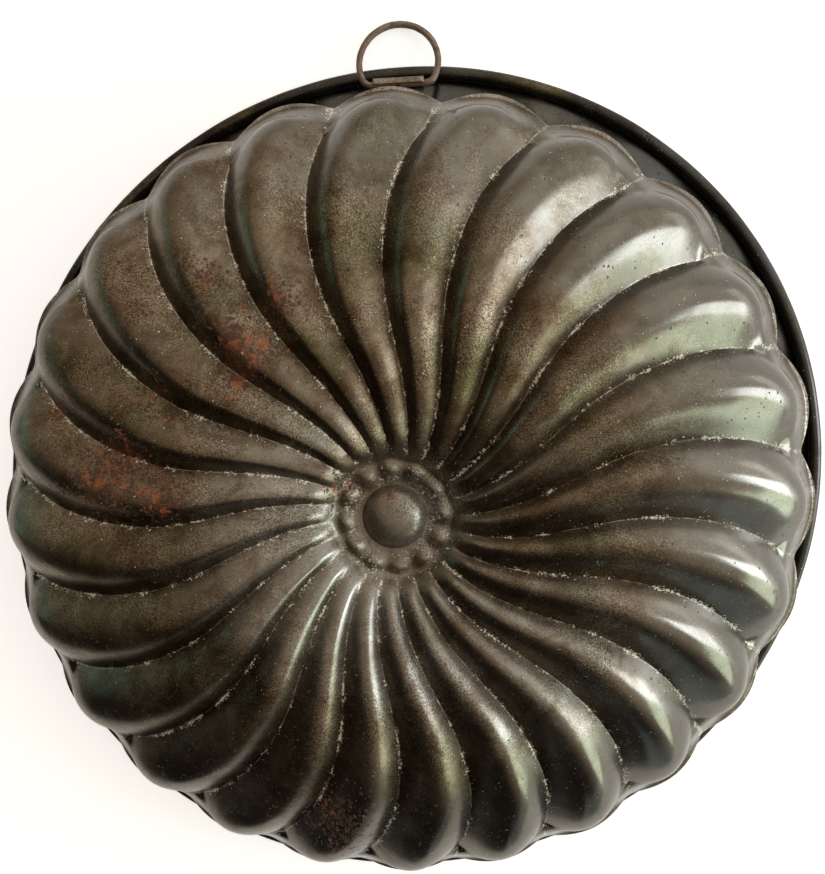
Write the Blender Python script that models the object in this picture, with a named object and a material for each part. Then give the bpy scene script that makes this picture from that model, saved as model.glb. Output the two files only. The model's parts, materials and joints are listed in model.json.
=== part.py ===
"""Old pressed tin jelly mould: a swirled crown with a rosette, folded onto a lobed collar.

The mould stands on its wired rim with the crown up. +Z is the mould's axis and the hanging
ring is at +Y. The origin is under the middle of the whole box, on the surface it stands on.
The crown's edge and the rim are a little bent out of round, as on the old mould. Lengths are
in metres.
"""

import math

import bmesh
import bpy
from mathutils import Vector

# Sheet, wire and clearance
SHEET = 0.00045             # thickness of the tinned sheet
GAP = 0.0003                # clearance between pieces that touch on the real mould
FLUTES = 24                 # swirled flutes, and lobes of the outline
PITCH = 2 * math.pi / FLUTES
FIRST_VALLEY = PITCH / 2    # azimuth of the first valley of the outline

# Outline of the crown, where it is folded onto the collar
OUTLINE_RADIUS = 0.1110     # at the tips of the lobes
LOBE_DEPTH = 0.0038         # how far the valleys are set in
FLANGE_WIDTH = 0.0036       # flat edge outside the flutes
CROWN_EDGE_HEIGHT = 0.022   # upper face of that flat edge
CROWN_BEND = (              # waves round the edge, reach and azimuth
    (1, 0.0012, math.radians(170)),
    (2, 0.0017, math.radians(10)),
)
BEND_START = 0.070          # radius where the crown begins to bend
HEM_DEPTH = 0.00195         # height of the folded seam
HEM_RETURN = 0.0012         # how far the fold turns back in

# Flutes
FLUTE_START = 0.0170        # radius where the flutes leave the rosette
CREST_RADIUS = 0.050        # radius where the creases are highest
CREST_HEIGHT = 0.0234       # height of the creases there, above the flat edge
BOWL_DEPTH = 0.0074         # how far the creases fall from there to the rosette
BOWL_POWER = 2.1
SHOULDER_POWER = 1.6        # roundness of the crown's shoulder
RELIEF_SLOPE = 0.30         # height of a rib over its width, near the middle
RELIEF_LIMIT = 0.0052       # height of the ribs near the shoulder
RIB_END_POWER = 24          # how suddenly the ribs end at the flat edge
RIDGE_PLACE = 0.62          # where a rib is highest, from one crease to the next
SWIRL_PEAK = math.radians(7.9)
SWIRL_RADIUS = 0.0633       # radius where the creases run furthest round
SWIRL_START = math.radians(-5.2)
SWIRL_POWER = 1.3           # how gently the swirl sets in at the rosette

# Rosette: radius and height above the crown's flat edge, from the middle out
BOSS_HEIGHT = 0.0177
ROSETTE = (
    (0.0042, 0.0169),       # round of the boss
    (0.0077, 0.0142),       # foot of the boss
    (0.0096, 0.0138),       # groove
    (0.0129, 0.0152),       # ring of beads
    (0.0162, 0.0149),       # border
)

# Collar
BRIM_WIDTH = 0.0089         # rim outside the tips of the lobes
FLARE_HEIGHT = 0.012        # where the wall starts to flare out to the rim
RIM_BEND = (                # waves round the rim, reach and azimuth
    (1, 0.0014, math.radians(140)),
    (2, 0.0022, math.radians(35)),
)
RIM_WIRE_RADIUS = 0.0010
RIM_LAND = 0.0010           # width of the flat that the mould stands on
SOLDER = 0.0003             # thickness of a film of solder
SEAM_FILLET = 0.00115       # solder run round the inside of the crown seam
SIDE_SEAM_AZIMUTH = math.radians(63)
SIDE_SEAM_WIDTH = 0.0020

# Lug and hanging ring
LUG_OFFSET = 0.0017         # the lug sits a little beside the lobe's middle
LUG_WIDTH = 0.0138
LUG_SHEET = 0.0005
LUG_TOP = 0.0180            # top of the lug's tail on the collar
LUG_LEAVES = 0.0124         # height where the tail leaves the collar
RING_WIRE_RADIUS = 0.0009
RING_RADIUS = 0.0108        # centre line of the ring's round
RING_REACH = 0.0169         # from the hinge line to the far side of the ring
RING_CORNER = 0.0026        # tightest bend at each foot
RING_GAP = 0.0010           # gap between the ring's two ends inside the lug
LUG_SIDE_GAP = 0.0005       # from the lug's end to where a foot of the ring bends up
HINGE_HEIGHT = 0.0057
HINGE_STANDOFF = 0.0065     # hinge line outside the collar's wall

# Fineness of the solids
COLUMNS_PER_FLUTE = 4
COLUMNS = FLUTES * COLUMNS_PER_FLUTE
WIRE_SIDES = 6
RING_SIDES = 8

# Worked out from the sizes above
RIM_RADIUS = OUTLINE_RADIUS + BRIM_WIDTH
BEAD_RADIUS = RIM_WIRE_RADIUS + GAP + SHEET
BEAD_LINE = RIM_RADIUS - BEAD_RADIUS
HOOK_RADIUS = RIM_WIRE_RADIUS + GAP
WALL_INSET = HEM_RETURN + GAP
COLLAR_TOP = CROWN_EDGE_HEIGHT - 2 * SHEET - GAP
ROLL_RADIUS = RING_WIRE_RADIUS + GAP + LUG_SHEET / 2


def tin_material(name, colour, roughness, metallic):
    """A Principled material with one colour, roughness and metallic value."""
    material = bpy.data.materials.new(name)
    material.use_nodes = True
    shader = material.node_tree.nodes["Principled BSDF"]
    shader.inputs["Base Color"].default_value = (*colour, 1.0)
    shader.inputs["Roughness"].default_value = roughness
    shader.inputs["Metallic"].default_value = metallic
    material.diffuse_color = (*colour, 1.0)
    return material


def add_object(name, mesh, material, parent, place=(0.0, 0.0, 0.0)):
    """Links a mesh as a named object under the mould's empty."""
    mesh.materials.append(material)
    mesh.shade_smooth()
    mesh.set_sharp_from_angle(angle=math.radians(40))
    piece = bpy.data.objects.new(name, mesh)
    bpy.context.scene.collection.objects.link(piece)
    piece.parent = parent
    piece.location = place
    return piece


def grid_mesh(name, rows, closed_columns, pole=None):
    """A mesh through rows of points; the first row may be closed by a fan to a pole."""
    bm = bmesh.new()
    grid = [[bm.verts.new(point) for point in row] for row in rows]
    count = len(rows[0])
    last = count if closed_columns else count - 1
    for upper, lower in zip(grid, grid[1:]):
        for column in range(last):
            after = (column + 1) % count
            bm.faces.new((upper[column], lower[column], lower[after], upper[after]))
    if pole is not None:
        tip = bm.verts.new(pole)
        for column in range(count):
            bm.faces.new((tip, grid[0][column], grid[0][(column + 1) % count]))
    mesh = bpy.data.meshes.new(name)
    bm.to_mesh(mesh)
    bm.free()
    return mesh


def thicken(piece, thickness, offset):
    """Gives a sheet its thickness; offset -1 keeps the modelled face outside."""
    solidify = piece.modifiers.new("sheet", "SOLIDIFY")
    solidify.thickness = thickness
    solidify.offset = offset
    solidify.use_even_offset = True
    solidify.use_rim = True


def polar(radius, azimuth, height):
    return Vector((radius * math.cos(azimuth), radius * math.sin(azimuth), height))


def ease(value, low, high):
    """0 below low and 1 above high, smooth between them."""
    share = min(1.0, max(0.0, (value - low) / (high - low)))
    return share * share * (3 - 2 * share)


def columns():
    """Flute number and share of the flute for every column, crease to crease."""
    for flute in range(FLUTES):
        for step in range(COLUMNS_PER_FLUTE):
            yield flute, step / COLUMNS_PER_FLUTE


def column_azimuths():
    """Azimuth of every column at the outline."""
    return [FIRST_VALLEY + PITCH * (flute + share) for flute, share in columns()]


def bend(azimuth, waves):
    """How far a bent edge stands outside its round at an azimuth."""
    return sum(reach * math.cos(count * (azimuth - place)) for count, reach, place in waves)


def outline_radius(azimuth):
    """Radius of the crown's lobed outline."""
    share = ((azimuth - FIRST_VALLEY) / PITCH) % 1.0
    round_radius = OUTLINE_RADIUS - LOBE_DEPTH * (1 - math.sin(math.pi * share))
    return round_radius + bend(azimuth, CROWN_BEND)


def flute_end():
    """Radius of the valleys where the flutes meet the flat edge."""
    return OUTLINE_RADIUS - LOBE_DEPTH - FLANGE_WIDTH


def crease_height(radius):
    """Height of the creases above the flat edge."""
    if radius < CREST_RADIUS:
        inward = (CREST_RADIUS - radius) / (CREST_RADIUS - FLUTE_START)
        return CREST_HEIGHT - BOWL_DEPTH * inward ** BOWL_POWER
    outward = min(1.0, (radius - CREST_RADIUS) / (flute_end() - CREST_RADIUS))
    return CREST_HEIGHT * math.sqrt(1 - outward ** SHOULDER_POWER)


def rib_height(radius):
    """Height of a rib over its creases; it dies out at the rosette and at the flat edge."""
    growing = RELIEF_SLOPE * PITCH * radius
    height = min(growing, RELIEF_LIMIT)
    start = 0.35 + 0.65 * ease(radius, FLUTE_START, 1.3 * FLUTE_START)
    outward = max(0.0, (radius - CREST_RADIUS) / (flute_end() - CREST_RADIUS))
    return height * start * math.sqrt(max(0.0, 1 - outward ** RIB_END_POWER))


def swirl(radius):
    """How far round the creases have run at a radius, from the outline's valleys."""
    if radius < SWIRL_RADIUS:
        way = (radius - FLUTE_START) / (SWIRL_RADIUS - FLUTE_START)
        turned = math.sin(math.pi / 2 * way) ** SWIRL_POWER
        return SWIRL_START + (SWIRL_PEAK - SWIRL_START) * turned
    outward = (radius - SWIRL_RADIUS) / (flute_end() - SWIRL_RADIUS)
    return SWIRL_PEAK * (1 - outward ** 2)


def flute_point(radius, flute, share):
    """A point of the fluted surface; share 0 is a crease and 0.5 the rib's ridge."""
    lobed = ease(radius, CREST_RADIUS, flute_end())
    ridge = RIDGE_PLACE + (0.5 - RIDGE_PLACE) * lobed
    if share < 0.5:
        turned = share * 2 * ridge
    else:
        turned = ridge + (share - 0.5) * 2 * (1 - ridge)
    azimuth = FIRST_VALLEY + PITCH * (flute + turned) + swirl(radius)
    bulge = math.sin(math.pi * share)
    height = CROWN_EDGE_HEIGHT + crease_height(radius) + rib_height(radius) * bulge
    bent = bend(azimuth, CROWN_BEND) * ease(radius, BEND_START, flute_end())
    return polar(radius + LOBE_DEPTH * bulge * lobed + bent, azimuth, height)


def flute_radii():
    """Radii of the rows of the fluted surface, closer together on the shoulder."""
    inner = [FLUTE_START + (CREST_RADIUS - FLUTE_START) * share for share in (0, 0.25, 0.6)]
    shoulder = [CREST_RADIUS + (flute_end() - CREST_RADIUS) * math.sin(math.pi / 2 * step / 6)
                for step in range(7)]
    return inner + shoulder


def crown_rows():
    """Rows of points over the crown's outer face, from the rosette to the folded hem."""
    rows = []
    for radius, height in ROSETTE:
        rows.append([polar(radius, FIRST_VALLEY + PITCH * (flute + share) + SWIRL_START,
                           CROWN_EDGE_HEIGHT + height) for flute, share in columns()])
    for radius in flute_radii():
        rows.append([flute_point(radius, flute, share) for flute, share in columns()])
    hem_low = CROWN_EDGE_HEIGHT - HEM_DEPTH
    for inset, height in ((0.0, CROWN_EDGE_HEIGHT), (0.0, hem_low), (HEM_RETURN, hem_low)):
        rows.append([polar(outline_radius(azimuth) - inset, azimuth, height)
                     for azimuth in column_azimuths()])
    return rows


def build_crown(parent, material):
    """The pressed crown: rosette, swirled flutes, flat edge and the hem of the seam."""
    pole = (0.0, 0.0, CROWN_EDGE_HEIGHT + BOSS_HEIGHT)
    mesh = grid_mesh("crown", crown_rows(), True, pole)
    crown = add_object("crown", mesh, material, parent)
    thicken(crown, SHEET, -1.0)


def bead_line(azimuth):
    """Radius of the middle of the wired bead."""
    return BEAD_LINE + bend(azimuth, RIM_BEND)


def wall_radius(azimuth):
    """Outer face of the collar's upright wall."""
    return outline_radius(azimuth) - WALL_INSET


def flare_point(azimuth, angle):
    """Radius and height on the outer face of the flare; angle runs 0 to 90 degrees."""
    wall = wall_radius(azimuth)
    foot = bead_line(azimuth) - RIM_LAND / 2
    radius = wall + (foot - wall) * (1 - math.cos(angle))
    return radius, FLARE_HEIGHT - (FLARE_HEIGHT - SHEET) * math.sin(angle)


def collar_face(azimuth, height):
    """Radius of the collar's outer face at a height above the rim."""
    if height >= FLARE_HEIGHT:
        return wall_radius(azimuth)
    angle = math.asin((FLARE_HEIGHT - height) / (FLARE_HEIGHT - SHEET))
    return flare_point(azimuth, angle)[0]


def collar_profile(azimuth):
    """Outer face of the collar, from its hidden top flange to the end of the rolled hook."""
    wall = wall_radius(azimuth)
    bead = bead_line(azimuth)
    profile = [(outline_radius(azimuth) - SHEET - GAP, COLLAR_TOP),
               (wall, COLLAR_TOP)]
    profile += [flare_point(azimuth, math.radians(angle)) for angle in (0, 32, 54, 74, 90)]
    profile.append((bead + RIM_LAND * 0.35, SHEET))
    for angle in (-42, 0, 42, 84, 126, 172):
        turn = math.radians(angle)
        profile.append((bead + HOOK_RADIUS * math.cos(turn),
                        BEAD_RADIUS + HOOK_RADIUS * math.sin(turn)))
    return profile


def build_collar(parent, material):
    """The side wall: lobed under the crown, flared to a round rim rolled over a wire."""
    azimuths = column_azimuths()
    profiles = [collar_profile(azimuth) for azimuth in azimuths]
    rows = [[polar(radius, azimuth, height) for azimuth, (radius, height) in zip(azimuths, level)]
            for level in zip(*profiles)]
    mesh = grid_mesh("collar", rows, True)
    collar = add_object("collar", mesh, material, parent)
    thicken(collar, SHEET, -1.0)


def swept_mesh(name, path, radius, sides, closed):
    """A wire of round section along a path of points."""
    bm = bmesh.new()
    rings = []
    count = len(path)
    for index, point in enumerate(path):
        before = path[index - 1] if closed or index else path[0]
        after = path[(index + 1) % count] if closed or index < count - 1 else path[-1]
        along = (after - before).normalized()
        side = along.cross(Vector((0, 0, 1))).normalized()
        up = side.cross(along)
        rings.append([bm.verts.new(point + radius * (math.cos(turn) * side + math.sin(turn) * up))
                      for turn in (2 * math.pi * step / sides for step in range(sides))])
    pairs = list(zip(rings, rings[1:]))
    if closed:
        pairs.append((rings[-1], rings[0]))
    for first, second in pairs:
        for step in range(sides):
            after = (step + 1) % sides
            bm.faces.new((first[step], second[step], second[after], first[after]))
    if not closed:
        bm.faces.new(rings[0])
        bm.faces.new(reversed(rings[-1]))
    bmesh.ops.recalc_face_normals(bm, faces=bm.faces)
    mesh = bpy.data.meshes.new(name)
    bm.to_mesh(mesh)
    bm.free()
    return mesh


def build_rim_wire(parent, material):
    """The wire that the collar's edge is rolled over."""
    azimuths = [2 * math.pi * column / COLUMNS for column in range(COLUMNS)]
    path = [polar(bead_line(azimuth), azimuth, BEAD_RADIUS) for azimuth in azimuths]
    mesh = swept_mesh("rim_wire", path, RIM_WIRE_RADIUS, WIRE_SIDES, True)
    add_object("rim_wire", mesh, material, parent)


def build_seam_solder(parent, material):
    """Solder run round the inner corner between the collar and the crown's flat edge."""
    top = CROWN_EDGE_HEIGHT - SHEET - GAP
    outer = WALL_INSET + SHEET + GAP
    corners = ((outer, top - SEAM_FILLET), (outer, top), (outer + SEAM_FILLET, top))
    bm = bmesh.new()
    rings = []
    for azimuth in column_azimuths():
        rings.append([bm.verts.new(polar(outline_radius(azimuth) - inset, azimuth, height))
                      for inset, height in corners])
    for first, second in zip(rings, rings[1:] + rings[:1]):
        for step in range(3):
            after = (step + 1) % 3
            bm.faces.new((first[step], second[step], second[after], first[after]))
    bmesh.ops.recalc_face_normals(bm, faces=bm.faces)
    mesh = bpy.data.meshes.new("seam_solder")
    bm.to_mesh(mesh)
    bm.free()
    add_object("seam_solder", mesh, material, parent)


def build_side_seam(parent, material):
    """Solder along the lap where the collar's two ends meet."""
    half = SIDE_SEAM_WIDTH / 2 / OUTLINE_RADIUS
    rows = []
    lifted = GAP + SOLDER / 2
    stations = [(wall_radius(SIDE_SEAM_AZIMUTH), COLLAR_TOP - 2 * GAP - SHEET, 0)]
    for angle in (0, 32, 54, 70):
        stations.append((None, None, math.radians(angle)))
    for radius, height, angle in stations:
        row = []
        for azimuth in (SIDE_SEAM_AZIMUTH - half, SIDE_SEAM_AZIMUTH + half):
            face, level = flare_point(azimuth, angle)
            if height is not None:
                level = height
            row.append(polar(face + lifted * math.cos(angle), azimuth,
                             level + lifted * math.sin(angle)))
        rows.append(row)
    mesh = grid_mesh("side_seam_solder", rows, False)
    seam = add_object("side_seam_solder", mesh, material, parent)
    thicken(seam, SOLDER, 0.0)


def collar_y(offset_x, height, lift):
    """Y of the point lift outside the collar's face, in front of the lug."""
    azimuth = math.pi / 2
    for _ in range(4):
        radius = collar_face(azimuth, height) + lift
        azimuth = math.acos(offset_x / radius)
    return radius * math.sin(azimuth)


def hinge_y():
    """Y of the ring's hinge line, outside the collar's wall."""
    return wall_radius(math.pi / 2) + HINGE_STANDOFF


def lug_stations():
    """X of each station across the lug."""
    return [LUG_OFFSET + LUG_WIDTH * (step / 6 - 0.5) for step in range(7)]


def build_lug(parent, material):
    """The strap that holds the ring: a tail on the collar and an open barrel below it."""
    lift = 2 * GAP + SOLDER + LUG_SHEET / 2
    rows = []
    for height in (LUG_TOP, (LUG_TOP + LUG_LEAVES) / 2, LUG_LEAVES):
        rows.append([(x, collar_y(x, height, lift), height) for x in lug_stations()])
    for angle in range(180, 461, 35):
        turn = math.radians(angle)
        rows.append([(x, hinge_y() + ROLL_RADIUS * math.cos(turn),
                      HINGE_HEIGHT + ROLL_RADIUS * math.sin(turn)) for x in lug_stations()])
    mesh = grid_mesh("ring_lug", rows, False)
    lug = add_object("ring_lug", mesh, material, parent)
    thicken(lug, LUG_SHEET, 0.0)


def build_lug_solder(parent, material):
    """The film of solder between the lug's tail and the collar."""
    lift = GAP + SOLDER / 2
    rows = []
    for height in (LUG_TOP, (LUG_TOP + LUG_LEAVES) / 2, LUG_LEAVES):
        rows.append([(x, collar_y(x, height, lift), height) for x in lug_stations()])
    mesh = grid_mesh("lug_solder", rows, False)
    film = add_object("lug_solder", mesh, material, parent)
    thicken(film, SOLDER, 0.0)


def ring_rest_angle():
    """Slope of the ring where it lies on the wired bead, below the level."""
    away = Vector((bead_line(math.pi / 2) - hinge_y(), BEAD_RADIUS - HINGE_HEIGHT))
    clear = BEAD_RADIUS + RING_WIRE_RADIUS + GAP
    return math.atan2(away.y, away.x) + math.asin(clear / away.length)


def ring_bends():
    """The foot's distance from the middle, its bend, and the angle where the round ends."""
    foot = LUG_WIDTH / 2 + LUG_SIDE_GAP
    centre = RING_REACH - RING_RADIUS
    corner = RING_CORNER
    if math.hypot(foot, centre - corner) < RING_RADIUS - corner:
        # A wide round comes in to the foot on a wider bend.
        rest = RING_RADIUS ** 2 - foot ** 2 - centre ** 2
        corner = rest / (2 * (RING_RADIUS - centre))
    away = Vector((foot, corner - centre))
    turn = math.acos(min(1.0, (RING_RADIUS - corner) / away.length))
    return foot, corner, math.atan2(away.y, away.x) + turn


def ring_half():
    """Centre line of half the ring in its own plane: x and distance from the hinge."""
    foot, corner, low = ring_bends()
    centre = RING_REACH - RING_RADIUS
    points = []
    for step in range(10):
        angle = math.pi / 2 + (low - math.pi / 2) * step / 9
        points.append((RING_RADIUS * math.cos(angle), centre + RING_RADIUS * math.sin(angle)))
    bend = [(foot + corner * math.cos(angle), corner + corner * math.sin(angle))
            for angle in (low + (-math.pi / 2 - low) * step / 3 for step in range(4))]
    # The first point of the bend is left out where the round runs straight into it.
    straight = math.dist(points[-1], bend[0])
    points += bend if straight > RING_WIRE_RADIUS else bend[1:]
    points.append((RING_GAP / 2, 0.0))
    return points


def build_hanging_ring(parent, material):
    """The wire ring, bent so that both ends meet inside the lug; it turns on the hinge."""
    slope = ring_rest_angle()
    half = ring_half()
    outline = [(-x, reach) for x, reach in reversed(half)] + half[1:]
    path = [Vector((x, reach * math.cos(slope), reach * math.sin(slope)))
            for x, reach in outline]
    mesh = swept_mesh("hanging_ring", path, RING_WIRE_RADIUS, RING_SIDES, False)
    add_object("hanging_ring", mesh, material, parent, (LUG_OFFSET, hinge_y(), HINGE_HEIGHT))


def centre_over_origin(mould):
    """Moves the whole mould so that the middle of its box is over the origin."""
    bpy.context.view_layer.update()
    graph = bpy.context.evaluated_depsgraph_get()
    corners = [piece.matrix_world @ Vector(corner) for piece in mould.children
               for corner in piece.evaluated_get(graph).bound_box]
    mould.location.x = -(min(c.x for c in corners) + max(c.x for c in corners)) / 2
    mould.location.y = -(min(c.y for c in corners) + max(c.y for c in corners)) / 2


def main():
    for old in list(bpy.data.objects):
        bpy.data.objects.remove(old)
    mould = bpy.data.objects.new("mould", None)
    bpy.context.scene.collection.objects.link(mould)
    build_crown(mould, tin_material("crown_tin", (0.20, 0.17, 0.14), 0.40, 0.9))
    build_collar(mould, tin_material("collar_tin", (0.16, 0.15, 0.14), 0.38, 0.9))
    build_rim_wire(mould, tin_material("rim_iron", (0.12, 0.09, 0.07), 0.55, 0.9))
    solder = (0.34, 0.33, 0.31)
    build_seam_solder(mould, tin_material("seam_solder", solder, 0.45, 0.9))
    build_side_seam(mould, tin_material("side_seam_solder", solder, 0.45, 0.9))
    build_lug(mould, tin_material("lug_tin", (0.22, 0.19, 0.16), 0.45, 0.9))
    build_lug_solder(mould, tin_material("lug_solder", solder, 0.45, 0.9))
    build_hanging_ring(mould, tin_material("ring_iron", (0.23, 0.16, 0.12), 0.55, 0.8))
    centre_over_origin(mould)


main()
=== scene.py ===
"""Looks of an old tinned jelly mould: fine surfaces, finishes, floor, light and camera.

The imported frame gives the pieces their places. The crown, the collar, the lug and the ring are
made again here with a finer surface, from the same driving sizes, and the rim's wire and the runs
of solder get a finish. Lengths are in metres and angles in radians, with +Z up and the hanging
ring at +Y.
"""

from __future__ import annotations

import json
import logging
import math
from collections.abc import Callable
from dataclasses import dataclass, field
from enum import Enum

import bmesh
import bpy
from mathutils import Matrix, Vector, noise

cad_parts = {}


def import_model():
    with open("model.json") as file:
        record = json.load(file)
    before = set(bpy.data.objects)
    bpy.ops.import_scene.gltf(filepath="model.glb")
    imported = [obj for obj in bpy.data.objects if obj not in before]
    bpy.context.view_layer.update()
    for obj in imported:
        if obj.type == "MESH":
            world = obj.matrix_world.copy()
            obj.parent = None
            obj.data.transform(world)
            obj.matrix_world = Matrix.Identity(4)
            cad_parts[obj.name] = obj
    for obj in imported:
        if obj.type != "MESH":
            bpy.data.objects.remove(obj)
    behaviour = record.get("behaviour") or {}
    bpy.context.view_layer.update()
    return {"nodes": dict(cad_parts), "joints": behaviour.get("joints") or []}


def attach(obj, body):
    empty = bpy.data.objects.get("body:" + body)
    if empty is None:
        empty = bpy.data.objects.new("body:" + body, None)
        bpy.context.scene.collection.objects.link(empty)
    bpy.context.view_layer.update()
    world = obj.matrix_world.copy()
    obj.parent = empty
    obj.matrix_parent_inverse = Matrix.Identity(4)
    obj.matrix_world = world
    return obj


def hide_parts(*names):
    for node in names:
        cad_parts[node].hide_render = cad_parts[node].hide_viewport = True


LOG = logging.getLogger("jelly_mould")
Colour = tuple[float, float, float]
Span = tuple[float, float]
MERGE_DISTANCE = 1e-5


class Body(Enum):
    """The two bodies of the mould that move against each other."""

    MOULD = "mould"
    RING = "ring"


class Slot(Enum):
    """Names for the material slots of the pieces that are made here; nothing in the script uses them.
    """

    CROWN = "crown_tin"
    COLLAR = "collar_tin"
    LUG = "lug_tin"
    RING = "ring_iron"


class Zone(Enum):
    """The zones of the crown, from its middle outward."""

    ROSETTE = "rosette"
    FLUTE = "flute"
    FLANGE = "flange"
    HEM = "hem"


def ease(value: float, low: float, high: float) -> float:
    """Rises smoothly from 0 below low to 1 above high.

    Args:
        value: The value to ease.
        low: Where the rise begins.
        high: Where the rise ends.

    Returns:
        A share from 0 to 1.
    """
    share = min(1.0, max(0.0, (value - low) / (high - low)))
    return share * share * (3 - 2 * share)


def polar(radius: float, azimuth: float, height: float) -> Vector:
    """A point from its radius, azimuth and height.

    Args:
        radius: Distance from the mould's axis.
        azimuth: Angle from +X.
        height: Height above the floor.

    Returns:
        The point, with the mould's axis at x 0 and y 0.
    """
    return Vector((radius * math.cos(azimuth), radius * math.sin(azimuth), height))


@dataclass(frozen=True)
class Wave:
    """One wave of a bent edge: how many rises it has, how high, and where the first stands."""

    count: int
    reach: float
    place: float

    def at(self, azimuth: float) -> float:
        """How far the wave stands out at an azimuth."""
        return self.reach * math.cos(self.count * (azimuth - self.place))


@dataclass(frozen=True)
class MouldForm:
    """The driving sizes of the mould, as the frame has them."""

    sheet: float = 0.00045
    gap: float = 0.0003
    flutes: int = 24
    outline_radius: float = 0.1110
    lobe_depth: float = 0.0038
    flange_width: float = 0.0036
    edge_height: float = 0.022
    crown_bend: tuple[Wave, ...] = (
        Wave(1, 0.0012, math.radians(170)),
        Wave(2, 0.0017, math.radians(10)),
    )
    bend_start: float = 0.070
    hem_depth: float = 0.00195
    hem_return: float = 0.0012
    flute_start: float = 0.0170
    crest_radius: float = 0.050
    crest_height: float = 0.0234
    bowl_depth: float = 0.0074
    bowl_power: float = 2.1
    shoulder_power: float = 1.6
    relief_slope: float = 0.30
    relief_limit: float = 0.0052
    relief_start: float = 0.35
    relief_grown: float = 1.3
    rib_end_power: int = 24
    crease_ease: float = 0.25
    ridge_place: float = 0.62
    swirl_peak: float = math.radians(7.9)
    swirl_radius: float = 0.0633
    swirl_start: float = math.radians(-5.2)
    swirl_power: float = 1.3
    brim_width: float = 0.0089
    flare_height: float = 0.012
    rim_bend: tuple[Wave, ...] = (
        Wave(1, 0.0014, math.radians(140)),
        Wave(2, 0.0022, math.radians(35)),
    )
    rim_wire_radius: float = 0.0010
    rim_land: float = 0.0010
    solder: float = 0.0003
    lug_offset: float = 0.0017
    lug_width: float = 0.0138
    lug_sheet: float = 0.0005
    lug_top: float = 0.0180
    lug_leaves: float = 0.0124
    ring_wire_radius: float = 0.0009
    ring_radius: float = 0.0108
    ring_reach: float = 0.0169
    ring_gap: float = 0.0010
    lug_side_gap: float = 0.0005
    hinge_height: float = 0.0057
    hinge_standoff: float = 0.0065

    @property
    def pitch(self) -> float:
        """Angle of one flute."""
        return 2 * math.pi / self.flutes

    @property
    def first_valley(self) -> float:
        """Azimuth of the first valley of the outline."""
        return self.pitch / 2

    @property
    def flute_end(self) -> float:
        """Radius of the valleys where the flutes meet the flat edge."""
        return self.outline_radius - self.lobe_depth - self.flange_width

    @property
    def wall_inset(self) -> float:
        """How far the collar's wall stands inside the crown's outline."""
        return self.hem_return + self.gap

    @property
    def collar_top(self) -> float:
        """Height of the collar's hidden top flange."""
        return self.edge_height - 2 * self.sheet - self.gap

    @property
    def bead_radius(self) -> float:
        """Outer radius of the rolled bead."""
        return self.rim_wire_radius + self.gap + self.sheet

    @property
    def hook_radius(self) -> float:
        """Inner radius of the rolled bead's sheet."""
        return self.rim_wire_radius + self.gap

    def crown_bent(self, azimuth: float) -> float:
        """How far the crown's edge stands outside its round at an azimuth."""
        return sum(wave.at(azimuth) for wave in self.crown_bend)

    def outline(self, azimuth: float) -> float:
        """Works out the crown's lobed outline.

        Args:
            azimuth: Angle round the mould.

        Returns:
            The outline's radius there.
        """
        share = ((azimuth - self.first_valley) / self.pitch) % 1.0
        tip_loss = self.lobe_depth * (1 - math.sin(math.pi * share))
        return self.outline_radius - tip_loss + self.crown_bent(azimuth)

    def bead_line(self, azimuth: float) -> float:
        """Radius of the middle of the wired bead at an azimuth."""
        rim_radius = self.outline_radius + self.brim_width
        return rim_radius - self.bead_radius + sum(wave.at(azimuth) for wave in self.rim_bend)

    def wall(self, azimuth: float) -> float:
        """Radius of the collar's upright wall at an azimuth."""
        return self.outline(azimuth) - self.wall_inset

    def outward(self, radius: float) -> float:
        """Share of the way from the crest to the flutes' end."""
        return max(0.0, min(1.0, (radius - self.crest_radius) / (self.flute_end - self.crest_radius)))

    def crease_height(self, radius: float) -> float:
        """Works out the creases, which rise to the crest and fall to the rosette.

        Args:
            radius: Distance from the axis.

        Returns:
            Their height above the flat edge.
        """
        if radius < self.crest_radius:
            inward = (self.crest_radius - radius) / (self.crest_radius - self.flute_start)
            return self.crest_height - self.bowl_depth * inward ** self.bowl_power
        return self.crest_height * math.sqrt(1 - self.outward(radius) ** self.shoulder_power)

    def rib_height(self, radius: float) -> float:
        """Works out how far a rib stands over its creases.

        Args:
            radius: Distance from the axis.

        Returns:
            The ridge's height over the creases.
        """
        height = min(self.relief_slope * self.pitch * radius, self.relief_limit)
        grown = ease(radius, self.flute_start, self.relief_grown * self.flute_start)
        start = self.relief_start + (1 - self.relief_start) * grown
        return height * start * math.sqrt(1 - self.outward(radius) ** self.rib_end_power)

    def rib_section(self, share: float) -> float:
        """Height of a rib's section as a share of its ridge; share 0 and 1 are its creases."""
        soft = (1 - math.cos(2 * math.pi * share)) / 2
        return math.sin(math.pi * share) * (1 - self.crease_ease) + soft * self.crease_ease

    def swirl(self, radius: float) -> float:
        """Works out how far round the creases have run.

        Args:
            radius: Distance from the axis.

        Returns:
            The angle, counted from the valleys of the outline.
        """
        if radius < self.swirl_radius:
            way = (radius - self.flute_start) / (self.swirl_radius - self.flute_start)
            turned = math.sin(math.pi / 2 * max(0.0, way)) ** self.swirl_power
            return self.swirl_start + (self.swirl_peak - self.swirl_start) * turned
        outward = (radius - self.swirl_radius) / (self.flute_end - self.swirl_radius)
        return self.swirl_peak * (1 - outward ** 2)

    @property
    def hinge_y(self) -> float:
        """Y of the ring's hinge line from the mould's axis."""
        return self.wall(math.pi / 2) + self.hinge_standoff

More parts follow.
